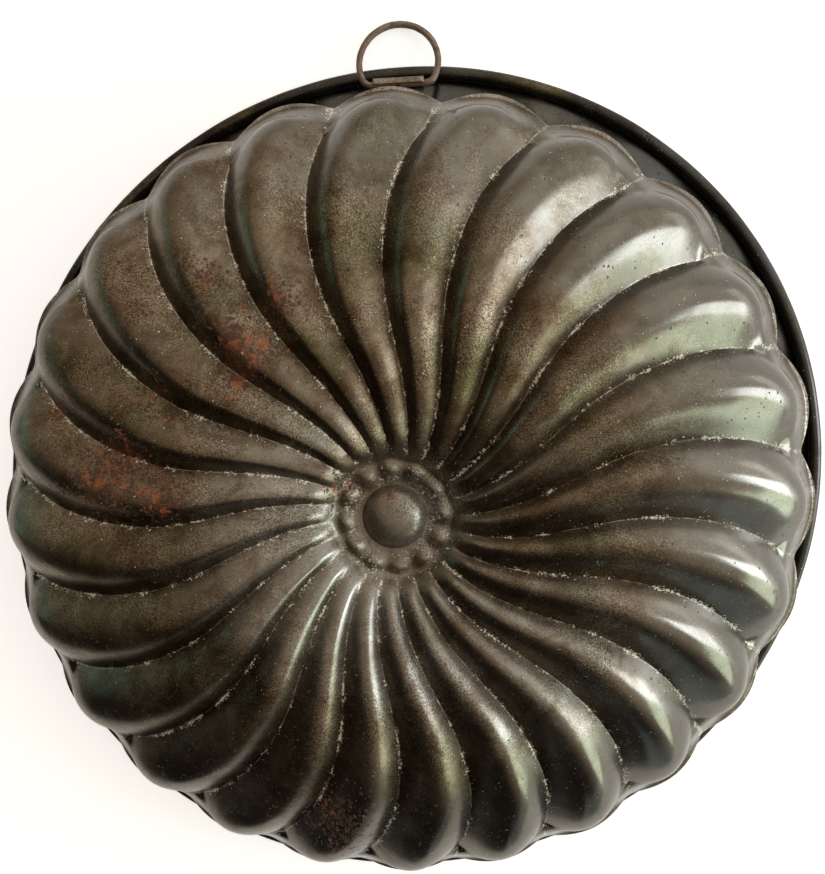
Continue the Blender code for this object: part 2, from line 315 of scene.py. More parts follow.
    def flare_point(self, azimuth: float, angle: float) -> tuple[float, float]:
        """Radius and height on the outer face of the flare.

        Args:
            azimuth: Angle round the mould.
            angle: Way along the flare, 0 at the wall and a quarter turn at the floor.

        Returns:
            The radius and the height.
        """
        wall = self.wall(azimuth)
        foot = self.bead_line(azimuth) - self.rim_land / 2
        radius = wall + (foot - wall) * (1 - math.cos(angle))
        return radius, self.flare_height - (self.flare_height - self.sheet) * math.sin(angle)

    def collar_face(self, azimuth: float, height: float) -> float:
        """Works out the collar's outer face.

        Args:
            azimuth: Angle round the mould.
            height: Height above the floor.

        Returns:
            The face's radius there.
        """
        if height >= self.flare_height:
            return self.wall(azimuth)
        sine = (self.flare_height - height) / (self.flare_height - self.sheet)
        return self.flare_point(azimuth, math.asin(sine))[0]


@dataclass(frozen=True)
class Place:
    """Where the mould's axis and the ring's hinge stand in the frame."""

    axis: Vector
    hinge: Vector

    @classmethod
    def from_frame(cls, joints: list[dict], form: MouldForm) -> Place:
        """Works the axis out from the ring's hinge.

        Args:
            joints: The frame's joints, of which the mould has one.
            form: The driving sizes.

        Returns:
            The place of the axis, on the floor, and of the hinge.
        """
        hinge = Vector(joints[0]["pos_m"])
        axis = Vector((hinge.x - form.lug_offset, hinge.y - form.hinge_y, 0.0))
        return cls(axis, hinge)


def spun_row(start: float, end: float, stations: int, columns: int) -> bmesh.types.BMesh:
    """A flat disc or ring of sheet, spun from a straight row of points.

    Args:
        start: Inner radius in stations; 0 closes the disc at its middle.
        end: Outer radius in stations.
        stations: Steps along the row.
        columns: Steps round the turn.

    Returns:
        The blank, in the plane z 0.
    """
    bm = bmesh.new()
    inner = bm.verts.new((start, 0.0, 0.0))
    outer = bm.verts.new((end, 0.0, 0.0))
    row = bm.edges.new((inner, outer))
    bmesh.ops.subdivide_edges(bm, edges=[row], cuts=stations - 1)
    bmesh.ops.spin(bm, geom=bm.verts[:] + bm.edges[:], cent=(0, 0, 0), axis=(0, 0, 1),
                   angle=2 * math.pi, steps=columns, use_merge=True)
    bmesh.ops.remove_doubles(bm, verts=bm.verts[:], dist=MERGE_DISTANCE)
    bmesh.ops.recalc_face_normals(bm, faces=bm.faces[:])
    if sum(face.normal.z for face in bm.faces) < 0:
        bmesh.ops.reverse_faces(bm, faces=bm.faces[:])
    return bm


def nearest_column(vert: bmesh.types.BMVert, columns: int) -> int:
    """The column of a spun blank that a vertex stands in."""
    turned = math.atan2(vert.co.y, vert.co.x) % (2 * math.pi)
    return round(turned / (2 * math.pi) * columns) % columns


def finished(name: str, bm: bmesh.types.BMesh, finishes: list[bpy.types.Material],
             sharp: float = math.radians(38)) -> bpy.types.Object:
    """Turns a bmesh into a smooth, dressed object at the origin.

    Args:
        name: The piece's name.
        bm: The finished shape, in the row frame; it is freed.
        finishes: Its materials, outer face first.
        sharp: Edges turned further than this stay crisp.

    Returns:
        The linked object.
    """
    mesh = bpy.data.meshes.new(name)
    bm.to_mesh(mesh)
    bm.free()
    mesh.shade_smooth()
    mesh.set_sharp_from_angle(angle=sharp)
    for finish in finishes:
        mesh.materials.append(finish)
    piece = bpy.data.objects.new(name, mesh)
    bpy.context.scene.collection.objects.link(piece)
    return piece


def give_thickness(piece: bpy.types.Object, thickness: float, offset: float,
                   inner_slot: int = 0, even: bool = True) -> None:
    """Gives a sheet piece its thickness.

    Args:
        piece: The sheet, as one face.
        thickness: The sheet's thickness.
        offset: -1 puts it behind the modelled face, 0 half on each side.
        inner_slot: How many material slots further the inner face is dressed from.
        even: Whether the thickness is held at bends too.
    """
    solidify = piece.modifiers.new("sheet", "SOLIDIFY")
    solidify.thickness = thickness
    solidify.offset = offset
    solidify.use_even_offset = even
    solidify.material_offset = inner_slot


@dataclass(frozen=True)
class Patch:
    """A soft patch on the crown: where it is, how wide, and how strong."""

    azimuth_degrees: float
    radius: float
    reach: float
    strength: float

    def cover(self, point: Vector) -> float:
        """How strongly the patch covers a point about the mould's axis."""
        middle = polar(self.radius, math.radians(self.azimuth_degrees), point.z)
        return self.strength * math.exp(-((point - middle).length / self.reach) ** 2)


def covered(patches: tuple[Patch, ...], point: Vector) -> float:
    """How strongly a point is covered by several patches, at most 1."""
    return min(1.0, sum(patch.cover(point) for patch in patches))


@dataclass(frozen=True)
class CrownWear:
    """How far use has rubbed each place of the crown clean."""

    side: float = math.radians(-22)
    side_radii: tuple[float, float] = (0.050, 0.100)
    side_share: float = 0.40
    bowl_radii: tuple[float, float] = (0.040, 0.060)
    bowl_turn: float = 1.3
    bowl_share: float = 0.15
    top_turn: float = math.radians(107)
    top_reach: float = 0.55
    top_radii: tuple[float, float] = (0.070, 0.095)
    top_share: float = 0.5
    rim_radii: tuple[float, float] = (0.094, 0.106)
    rim_share: float = 0.35
    matt_radii: tuple[float, float] = (0.0165, 0.0215)
    foot_rise: float = 0.0030
    foot_loss: float = 0.85

    def matt(self, radius: float) -> float:
        """How matt the sheet is at a radius: the rosette is, and the flutes aren't."""
        return 1 - ease(radius, *self.matt_radii)

    def worn(self, point: Vector, lift: float) -> float:
        """How far the sheet is rubbed clean.

        Args:
            point: The point about the mould's axis.
            lift: Its height above the flat edge.

        Returns:
            The share of clean tin.
        """
        radius = point.to_2d().length
        turned = math.atan2(point.y, point.x) - self.side
        side = ease(radius, *self.side_radii) * self.side_share * (1 + math.cos(turned))
        bowl = (1 - ease(radius, *self.bowl_radii)) * self.bowl_share
        bowl *= 1 - math.cos(turned - self.bowl_turn)
        top = math.exp(-((turned - self.top_turn) / self.top_reach) ** 2)
        top *= ease(radius, *self.top_radii)
        rim = ease(radius, *self.rim_radii)
        rubbed = max(side, bowl, self.top_share * top, self.rim_share * rim)
        low = 1 - ease(lift, 0.0, self.foot_rise)
        return (rubbed - self.matt(radius) * bowl) * (1 - self.foot_loss * low)


@dataclass
class Crown:
    """The pressed crown: rosette, swirled flutes, flat edge and rolled hem."""

    form: MouldForm
    place: Place
    columns_per_flute: int = 16
    rosette_rows: int = 28
    bowl_rows: int = 26
    shoulder_rows: int = 50
    flange_rows: int = 5
    hem_rows: int = 9
    boss_radius: float = 0.0083
    boss_top: float = 0.0177
    boss_foot: float = 0.0129
    beads: int = 12
    bead_radius: float = 0.0131
    bead_reach: float = 0.0023
    bead_rise: float = 0.0020
    bead_ground: float = 0.35
    bead_place: float = math.radians(4)
    border_height: float = 0.0133
    rosette_end: float = 0.0158
    hem_round: float = 0.0005
    hem_turn: float = 0.5
    hem_end: float = 0.9
    hem_shoulder: float = 0.15
    toe_reach: float = 0.0031
    valley_reach: float = 0.0026
    toe_rise: float = 0.0080
    toe_power: float = 1.8
    toe_passes: int = 26
    toe_clear: float = 0.0003
    border_reach: float = 0.0020
    border_passes: int = 8
    smoothing: float = 0.5
    dent_reach: float = 0.00022
    dent_scale: float = 55
    small_dent_scale: float = 210
    small_dent_share: float = 0.25
    dent_sink: float = 1.1
    dent_clear: float = 0.00006
    dent_fade: float = 0.004
    crease_reach: float = 0.0006
    foot_start: float = 0.1010
    foot_spread: float = 4
    boss_edge: tuple[float, float] = (0.0080, 0.0100)
    boss_chips: float = 0.5
    hem_chips: float = 0.25
    # Strength of the painted highlight on the hem's rounded edge, which is partly rubbed tin.
    edge_bright: float = 1.5
    wear: CrownWear = CrownWear()
    rust: tuple[Patch, ...] = (
        Patch(125.5, 0.0750, 0.0030, 1.0),
        Patch(131.0, 0.0681, 0.0030, 0.6),
        Patch(129.1, 0.0582, 0.0050, 1.0),
        Patch(135.0, 0.0515, 0.0035, 0.9),
        Patch(113.6, 0.0604, 0.0035, 1.0),
        Patch(125.9, 0.0522, 0.0040, 0.8),
        Patch(170.2, 0.0742, 0.0070, 1.0),
        Patch(165.0, 0.0713, 0.0050, 0.6),
        Patch(173.3, 0.0585, 0.0050, 0.8),
        Patch(160.8, 0.0928, 0.0025, 0.9),
        Patch(171.4, 0.1084, 0.0035, 0.9),
        Patch(151.1, 0.0693, 0.0060, 0.45),
        Patch(93.4, 0.0059, 0.0011, 1.0),
        Patch(150.0, 0.0160, 0.0030, 0.6),
        Patch(259.0, 0.0850, 0.0080, 0.5),
    )
    # Painted highlights: patches lightened toward a pale grey where the light falls brightly, on the
    # bowl's left and lower side, the lower right and right side, and the rosette's right side.
    bright: tuple[Patch, ...] = (
        Patch(180.0, 0.0310, 0.0160, 0.9),
        Patch(225.0, 0.0310, 0.0170, 1.0),
        Patch(270.0, 0.0340, 0.0180, 1.0),
        Patch(292.0, 0.0520, 0.0160, 0.5),
        Patch(320.0, 0.0620, 0.0200, 0.9),
        Patch(0.0, 0.0950, 0.0220, 0.7),
        Patch(0.0, 0.0100, 0.0110, 1.3),
    )

    @property
    def columns(self) -> int:
        """Columns round the crown."""
        return self.form.flutes * self.columns_per_flute

    def stations(self) -> list[tuple[Zone, float]]:
        """Lists the rows of the blank from the pole to the hem's end.

        Returns:
            The zone of each row, and its place there: a radius in the rosette and the flutes,
            and a share of the way across in the flat edge and the hem.
        """
        start, crest, end = self.form.flute_start, self.form.crest_radius, self.form.flute_end
        row = [(Zone.ROSETTE, start * step / self.rosette_rows)
               for step in range(self.rosette_rows)]
        row += [(Zone.FLUTE, start + (crest - start) * (step / self.bowl_rows))
                for step in range(self.bowl_rows)]
        row += [(Zone.FLUTE, crest + (end - crest)
                 * math.sin(math.pi / 2 * step / self.shoulder_rows))
                for step in range(self.shoulder_rows + 1)]
        row += [(Zone.FLANGE, step / self.flange_rows) for step in range(1, self.flange_rows)]
        row += [(Zone.HEM, step / self.hem_rows) for step in range(self.hem_rows + 1)]
        return row

    def rosette_height(self, radius: float, azimuth: float) -> float:
        """Height of the rosette above the flat edge.

        Args:
            radius: Distance from the axis.
            azimuth: Angle round the axis.

        Returns:
            The height.
        """
        if radius < self.boss_radius:
            dome = math.sqrt(1 - (radius / self.boss_radius) ** 2)
            return self.boss_foot + (self.boss_top - self.boss_foot) * dome
        rising = ease(radius, self.boss_radius, self.bead_radius)
        ground = self.boss_foot + (self.border_height - self.boss_foot) * rising
        across = (radius - self.bead_radius) / self.bead_reach
        along = 0.5 + 0.5 * math.cos(self.beads * (azimuth - self.bead_place))
        bead = self.bead_ground + (1 - self.bead_ground) * along
        return ground + self.bead_rise * bead * math.exp(-across ** 2)

    def to_ridge(self, share: float, ridge: float) -> float:
        """Way across a flute at an even share of its columns, with the ridge off the middle."""
        return share * 2 * ridge if share < 0.5 else ridge + (share - 0.5) * 2 * (1 - ridge)

    def flute_point(self, radius: float, flute: int, share: float) -> Vector:
        """A point of the fluted surface.

        Args:
            radius: Distance of the creases from the axis.
            flute: The flute's number.
            share: Way across the flute: 0 is a crease and 0.5 the rib's ridge.

        Returns:
            The point about the mould's axis.
        """
        form = self.form
        lobed = ease(radius, form.crest_radius, form.flute_end)
        turned = self.to_ridge(share, form.ridge_place + (0.5 - form.ridge_place) * lobed)
        azimuth = form.first_valley + form.pitch * (flute + turned) + form.swirl(radius)
        rise = form.rib_height(radius) * form.rib_section(share)
        height = form.edge_height + form.crease_height(radius) + rise
        bent = form.crown_bent(azimuth) * ease(radius, form.bend_start, form.flute_end)
        lobe = form.lobe_depth * math.sin(math.pi * share) * lobed
        return polar(radius + lobe + bent, azimuth, height)

    def toed(self, point: Vector, share: float) -> Vector:
        """Runs the foot of a flute softly out over the flat edge.

        Args:
            point: A point of the fluted surface.
            share: Its way across the flute.

        Returns:
            The point, moved outward the more the lower it is.
        """
        low = 1 - (point.z - self.form.edge_height) / self.toe_rise
        if low <= 0:
            return point
        reach = self.valley_reach + (self.toe_reach - self.valley_reach) * math.sin(math.pi * share)
        return point + point.to_2d().normalized().to_3d() * reach * low ** self.toe_power

    def hem_point(self, azimuth: float, share: float) -> Vector:
        """A point of the rolled edge.

        Args:
            azimuth: Angle round the crown.
            share: Way from the flat edge over the two rounds to the hem's return.

        Returns:
            The point about the mould's axis.
        """
        form = self.form
        outline = form.outline(azimuth)
        low = form.edge_height - form.hem_depth
        if share < self.hem_turn:
            turn = math.pi / 2 * share / self.hem_turn
            return polar(outline - self.hem_round * (1 - math.sin(turn)), azimuth,
                         form.edge_height - self.hem_round * (1 - math.cos(turn)))
        if share < self.hem_end:
            turn = math.pi / 2 * (share - self.hem_turn) / (self.hem_end - self.hem_turn)
            return polar(outline - self.hem_round * (1 - math.cos(turn)), azimuth,
                         low + self.hem_round * (1 - math.sin(turn)))
        return polar(outline - form.hem_return, azimuth, low)

    def pressed(self, zone: Zone, place: float, column: int) -> Vector:
        """Where a point of the flat blank goes in the press.

        Args:
            zone: The crown's zone at this row of the blank.
            place: The row's place in that zone.
            column: The point's column.

        Returns:
            The point about the mould's axis.
        """
        form = self.form
        flute, step = divmod(column, self.columns_per_flute)
        share = step / self.columns_per_flute
        azimuth = form.first_valley + form.pitch * (flute + share)
        if zone is Zone.ROSETTE:
            turned = azimuth + form.swirl_start
            level = self.rosette_height(place, turned)
            ribbed = form.crease_height(form.flute_start)
            ribbed += form.rib_height(form.flute_start) * form.rib_section(share)
            blend = ease(place, self.rosette_end, form.flute_start)
            level += (ribbed - level) * blend
            turned += form.pitch * (self.to_ridge(share, form.ridge_place) - share) * blend
            return polar(place, turned, form.edge_height + level)
        if zone is Zone.FLUTE:
            return self.toed(self.flute_point(place, flute, share), share)
        if zone is Zone.FLANGE:
            toe = self.toed(self.flute_point(form.flute_end, flute, share), share)
            return toe.lerp(self.hem_point(azimuth, 0.0), place)
        return self.hem_point(azimuth, place)

    def dent(self, point: Vector, zone: Zone) -> float:
        """How far the worn sheet lies off its die.

        Args:
            point: The point about the mould's axis.
            zone: The crown's zone there.

        Returns:
            The distance, downward where it is negative.
        """
        if zone in (Zone.HEM, Zone.FLANGE):
            return 0.0
        slow = noise.noise(point * self.dent_scale)
        quick = noise.noise(point * self.small_dent_scale) * self.small_dent_share
        faded = ease(point.z - self.form.edge_height, 0.0, self.dent_fade)
        return ((slow + quick - self.dent_sink) * self.dent_reach - self.dent_clear) * faded

    def chipped(self, zone: Zone, place: float, share: float, radius: float) -> float:
        """Nearness to a crease or an edge, where the tin chips; creases also get a painted highlight
        line.

        Args:
            zone: The crown's zone.
            place: The point's place in that zone.
            share: Its way across the flute.
            radius: Its distance from the axis.

        Returns:
            The nearness, 1 on a crease.
        """
        if zone is Zone.FLUTE:
            away = min(share, 1 - share) * self.form.pitch * radius / self.crease_reach
            foot = ease(place, self.foot_start, self.form.flute_end)
            return max(math.exp(-away ** 2), foot * math.exp(-(away / self.foot_spread) ** 2))
        if zone is Zone.ROSETTE:
            return self.boss_chips * ease(place, *self.boss_edge)
        return self.hem_chips if zone is Zone.HEM else 0.0

    def press(self) -> bmesh.types.BMesh:
        """Presses the flat blank into the crown and marks its creases, its wear, its rust and its
        painted highlights.

        Returns:
            The crown's outer face, in the frame.
        """
        row = self.stations()
        last = len(row) - 1
        bm = spun_row(0.0, float(last), last, self.columns)
        crease, worn, matt, rust, bright = (
            bm.verts.layers.float.new(name) for name in ("crease", "worn", "matt", "rust", "bright"))
        toe: list[bmesh.types.BMVert] = []
        border: list[bmesh.types.BMVert] = []
        for vert in bm.verts:
            station = round(vert.co.length)
            column = nearest_column(vert, self.columns)
            zone, place = row[station]
            point = self.pressed(zone, place, column)
            point.z += self.dent(point, zone)
            share = (column % self.columns_per_flute) / self.columns_per_flute
            radius = point.to_2d().length
            vert[crease] = self.chipped(zone, place, share, radius)
            vert[matt] = self.wear.matt(radius)
            vert[worn] = self.wear.worn(point, point.z - self.form.edge_height)
            vert[rust] = covered(self.rust, point)
            # The 'bright' attribute places the painted highlights; the hem's rounded edge gets a
            # strong one, partly rubbed tin.
            vert[bright] = covered(self.bright, point)
            if zone is Zone.HEM and place < self.hem_turn:
                vert[bright] = self.edge_bright
            vert.co = point + self.place.axis
            if self.at_toe(zone, place, point.z):
                toe.append(vert)
            if abs(radius - self.form.flute_start) < self.border_reach:
                border.append(vert)
        for verts, passes in ((toe, self.toe_passes), (border, self.border_passes)):
            for _ in range(passes):
                bmesh.ops.smooth_vert(bm, verts=verts, factor=self.smoothing,
                                      use_axis_x=True, use_axis_y=True, use_axis_z=True)
        for vert in toe:
            self.hold_inside(vert)
        return bm

    def at_toe(self, zone: Zone, place: float, height: float) -> bool:
        """Whether a point is where the ribs run out into the flat edge.

        Args:
            zone: The crown's zone.
            place: The point's place in that zone.
            height: Its height above the floor.

        Returns:
            True where the sheet is smoothed.
        """
        if zone is Zone.FLANGE or (zone is Zone.HEM and place < self.hem_shoulder):
            return True
        low = height - self.form.edge_height < self.toe_rise
        return zone is Zone.FLUTE and low and place > self.form.crest_radius

    def hold_inside(self, vert: bmesh.types.BMVert) -> None:
        """Keeps the foot of the ribs inside the rolled edge, which is narrow at the valleys.

        Args:
            vert: A vertex of the foot.
        """
        point = vert.co - self.place.axis
        radius = point.to_2d().length
        azimuth = math.atan2(point.y, point.x)
        edge = self.form.outline(azimuth) - self.toe_clear
        if radius > edge:
            vert.co = self.place.axis + polar(edge, azimuth, point.z)

    def build(self, outside: bpy.types.Material, inside: bpy.types.Material) -> bpy.types.Object:
        """Builds the crown and gives its sheet its thickness.

        Args:
            outside: The finish of the outer face.
            inside: The finish of the inner face.

        Returns:
            The crown, riding on the mould.
        """
        piece = finished("crown_sheet", self.press(), [outside, inside])
        give_thickness(piece, self.form.sheet, -1.0, 1, even=False)
        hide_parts("crown")
        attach(piece, Body.MOULD.value)
        return piece


@dataclass
class Collar:
    """The side wall: lobed under the crown, flared to the rim and rolled over the wire."""

    form: MouldForm
    place: Place
    columns: int = 384
    wall_rows: int = 8
    flare_rows: int = 20
    hook_rows: int = 20
    hook_start: float = math.radians(-42)
    hook_end: float = math.radians(186)
    hook_dents: float = 0.00012
    hook_dent_scale: float = 60
    land_rest: float = 0.35
    worn_side: float = math.radians(10)
    worn_share: float = 0.25
    blank_start: float = 10.0
    sharp: float = math.radians(60)

    def profile(self, azimuth: float) -> list[tuple[float, float]]:
        """Follows the sheet from the top flange to the hook's end.

        Args:
            azimuth: Angle round the mould.

        Returns:
            The radius and the height of each row.
        """
        form = self.form
        wall = form.wall(azimuth)
        bead = form.bead_line(azimuth)
        rows = [(form.outline(azimuth) - form.sheet - form.gap, form.collar_top)]
        for step in range(self.wall_rows):
            share = step / self.wall_rows
            rows.append((wall, form.collar_top + (form.flare_height - form.collar_top) * share))
        for step in range(self.flare_rows + 1):
            rows.append(form.flare_point(azimuth, math.pi / 2 * step / self.flare_rows))
        rows.append((bead + form.rim_land * self.land_rest, form.sheet))
        for step in range(self.hook_rows + 1):
            turn = self.hook_start + (self.hook_end - self.hook_start) * step / self.hook_rows
            rows.append((bead + form.hook_radius * math.cos(turn),
                         form.bead_radius + form.hook_radius * math.sin(turn)))
        return rows

    def roll(self) -> bmesh.types.BMesh:
        """Rolls a flat ring of sheet into the collar and over the wire, and marks its wear.

        Returns:
            The collar's outer face, in the frame.
        """
        turns = [2 * math.pi * column / self.columns for column in range(self.columns)]
        profiles = [self.profile(azimuth) for azimuth in turns]
        last = len(profiles[0]) - 1
        bm = spun_row(self.blank_start, self.blank_start + last, last, self.columns)
        first_hook = last - self.hook_rows
        worn = bm.verts.layers.float.new("worn")
        for face in bm.faces:
            nearest = min(vert.co.length for vert in face.verts)
            face.material_index = int(round(nearest - self.blank_start) >= first_hook - 1)
        for vert in bm.verts:
            station = round(vert.co.length - self.blank_start)
            column = nearest_column(vert, self.columns)
            azimuth = turns[column]
            radius, height = profiles[column][station]
            point = polar(radius, azimuth, height)
            vert[worn] = self.worn_share * (1 + math.cos(azimuth - self.worn_side))
            if station >= first_hook:
                inward = noise.noise(point * self.hook_dent_scale) * self.hook_dents
                point = polar(radius - abs(inward), azimuth, height)
            vert.co = point + self.place.axis
        return bm

    def build(self, outside: bpy.types.Material, inside: bpy.types.Material,
              bead: bpy.types.Material) -> bpy.types.Object:
        """Builds the collar and gives its sheet its thickness.

        Args:
            outside: The finish of the outer face.
            inside: The finish of the inner face.
            bead: The finish of the rolled bead, where the inner face turns outside.

        Returns:
            The collar, riding on the mould.
        """
        piece = finished("collar_sheet", self.roll(), [outside, inside, bead], self.sharp)
        give_thickness(piece, self.form.sheet, -1.0, 1)
        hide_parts("collar")
        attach(piece, Body.MOULD.value)
        return piece


@dataclass
class RingLug:
    """The tin strap that holds the ring: a tail on the collar and an open barrel."""

    form: MouldForm
    place: Place
    steps_across: int = 28
    tail_rows: int = 12
    bridge_rows: int = 8
    barrel_rows: int = 26
    barrel_start: float = math.radians(180)
    barrel_end: float = math.radians(460)
    rounds: int = 4

    def strap_point(self, across: float, row: float) -> Vector:
        """A point of the bent strap.

        Args:
            across: Place across the strap, -0.5 to 0.5.
            row: Place along the strap in rows, from the tail's top.

        Returns:
            The point about the mould's axis.
        """
        form = self.form
        x = form.lug_offset + form.lug_width * across
        lift = 2 * form.gap + form.solder + form.lug_sheet / 2
        roll = form.ring_wire_radius + form.gap + form.lug_sheet / 2
        if row <= self.tail_rows:
            height = form.lug_top + (form.lug_leaves - form.lug_top) * row / self.tail_rows
            return Vector((x, self.collar_y(x, height, lift), height))
        start = self.strap_point(across, self.tail_rows)
        turn = self.barrel_start
        entry = Vector((x, form.hinge_y + roll * math.cos(turn),
                        form.hinge_height + roll * math.sin(turn)))
        if row <= self.tail_rows + self.bridge_rows:
            return start.lerp(entry, (row - self.tail_rows) / self.bridge_rows)
        way = (row - self.tail_rows - self.bridge_rows) / self.barrel_rows
        turn += (self.barrel_end - self.barrel_start) * way
        return Vector((x, form.hinge_y + roll * math.cos(turn),
                       form.hinge_height + roll * math.sin(turn)))

    def collar_y(self, x: float, height: float, lift: float) -> float:
        """Finds a point off the collar's face by a few rounds of nearer tries.

        Args:
            x: The point's x from the mould's axis.
            height: Its height above the floor.
            lift: How far it stands off the face.

        Returns:
            The point's y.
        """
        azimuth = math.pi / 2
        radius = 0.0
        for _ in range(self.rounds):
            radius = self.form.collar_face(azimuth, height) + lift
            azimuth = math.acos(x / radius)
        return radius * math.sin(azimuth)

    def bend_strap(self) -> bmesh.types.BMesh:
        """Bends a flat strip into the lug.

        Returns:
            The strap's middle face, in the frame.
        """
        rows = self.tail_rows + self.bridge_rows + self.barrel_rows
        bm = bmesh.new()
        bmesh.ops.create_grid(bm, x_segments=self.steps_across, y_segments=rows, size=0.5)
        for vert in bm.verts:
            row = round((0.5 - vert.co.y) * rows)
            vert.co = self.strap_point(vert.co.x, float(row)) + self.place.axis
        bmesh.ops.recalc_face_normals(bm, faces=bm.faces[:])
        return bm

    def build(self, finish: bpy.types.Material) -> bpy.types.Object:
        """Builds the lug and gives its strap its thickness.

        Args:
            finish: The strap's finish.

        Returns:
            The lug, riding on the mould.
        """
        piece = finished("ring_lug_strap", self.bend_strap(), [finish])
        give_thickness(piece, self.form.lug_sheet, 0.0)
        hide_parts("ring_lug")
        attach(piece, Body.MOULD.value)
        return piece


@dataclass
class HangingRing:
    """The iron wire ring, bent round and in again to its two ends in the lug's barrel."""

    form: MouldForm
    place: Place
    sides: int = 20
    round_steps: int = 44
    corner_steps: int = 10
    pits: float = 0.00005
    pit_scale: float = 700
    pit_sink: float = 0.6
    merge_distance: float = 1e-6
    sharp: float = math.radians(60)

    def rest_slope(self) -> float:
        """Works out how the ring lies on the wired bead.

        Returns:
            Its slope about the hinge line.
        """
        form = self.form
        away = Vector((form.bead_line(math.pi / 2) - form.hinge_y,
                       form.bead_radius - form.hinge_height))
        clear = form.bead_radius + form.ring_wire_radius + form.gap
        return math.atan2(away.y, away.x) + math.asin(clear / away.length)

    def half(self) -> bmesh.types.BMesh:
        """Bends half of the ring flat, from its far side to its end on the hinge line.

        Returns:
            The half, with the hinge line at y 0.
        """
        form = self.form
        centre = form.ring_reach - form.ring_radius
        foot = form.lug_width / 2 + form.lug_side_gap
        rest = form.ring_radius ** 2 - foot ** 2 - centre ** 2
        bend = rest / (2 * (form.ring_radius - centre))
        low = math.atan2(centre - bend, foot)
        corner = Vector((foot, bend, 0.0))
        bm = bmesh.new()
        bmesh.ops.create_circle(bm, cap_ends=False, segments=self.sides,
                                radius=form.ring_wire_radius)
        turned = Matrix.Rotation(math.pi / 2, 4, "Y")
        far = Matrix.Translation((0.0, form.ring_reach, 0.0))
        bmesh.ops.transform(bm, matrix=far @ turned, verts=bm.verts[:])
        section = bm.edges[:]
        bends = ((Vector((0.0, centre, 0.0)), math.pi / 2 + low, self.round_steps),
                 (corner, math.pi / 2 - low, self.corner_steps))
        for middle, angle, steps in bends:
            made = bmesh.ops.spin(bm, geom=section, cent=middle, axis=(0, 0, -1), angle=angle,
                                  steps=steps)
            section = [part for part in made["geom_last"] if isinstance(part, bmesh.types.BMEdge)]
        made = bmesh.ops.extrude_edge_only(bm, edges=section)
        ends = [part for part in made["geom"] if isinstance(part, bmesh.types.BMVert)]
        straight = corner.x - form.ring_gap / 2
        bmesh.ops.translate(bm, verts=ends, vec=(-straight, 0.0, 0.0))
        cap = [part for part in made["geom"] if isinstance(part, bmesh.types.BMEdge)
               and all(vert in ends for vert in part.verts)]
        bmesh.ops.contextual_create(bm, geom=cap)
        return bm

    def bend_wire(self) -> bmesh.types.BMesh:
        """Joins the two halves, lays the ring on the bead and pits its surface.

        Returns:
            The ring, in the frame.
        """
        bm = self.half()
        bmesh.ops.mirror(bm, geom=bm.verts[:] + bm.edges[:] + bm.faces[:], axis="X",
                         merge_dist=self.merge_distance)
        bmesh.ops.remove_doubles(bm, verts=bm.verts[:], dist=self.merge_distance)
        bmesh.ops.recalc_face_normals(bm, faces=bm.faces[:])
        for vert in bm.verts:
            depth = noise.noise(vert.co * self.pit_scale) - self.pit_sink
            vert.co += vert.normal * depth * self.pits
        laid = Matrix.Translation(self.place.hinge) @ Matrix.Rotation(self.rest_slope(), 4, "X")
        bmesh.ops.transform(bm, matrix=laid, verts=bm.verts[:])
        return bm

    def build(self, finish: bpy.types.Material) -> bpy.types.Object:
        """Builds the ring.

        Args:
            finish: The wire's finish.

        Returns:
            The ring, riding on its own body.
        """
        piece = finished("hanging_ring_wire", self.bend_wire(), [finish], self.sharp)
        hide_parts("hanging_ring")
        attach(piece, Body.RING.value)
        return piece


@dataclass(frozen=True)
class Pattern:
    """A noise pattern: its scale, its octaves, how rough they are and how far it swirls."""

    scale: float
    detail: float = 4.0
    roughness: float = 0.55
    distortion: float = 0.0


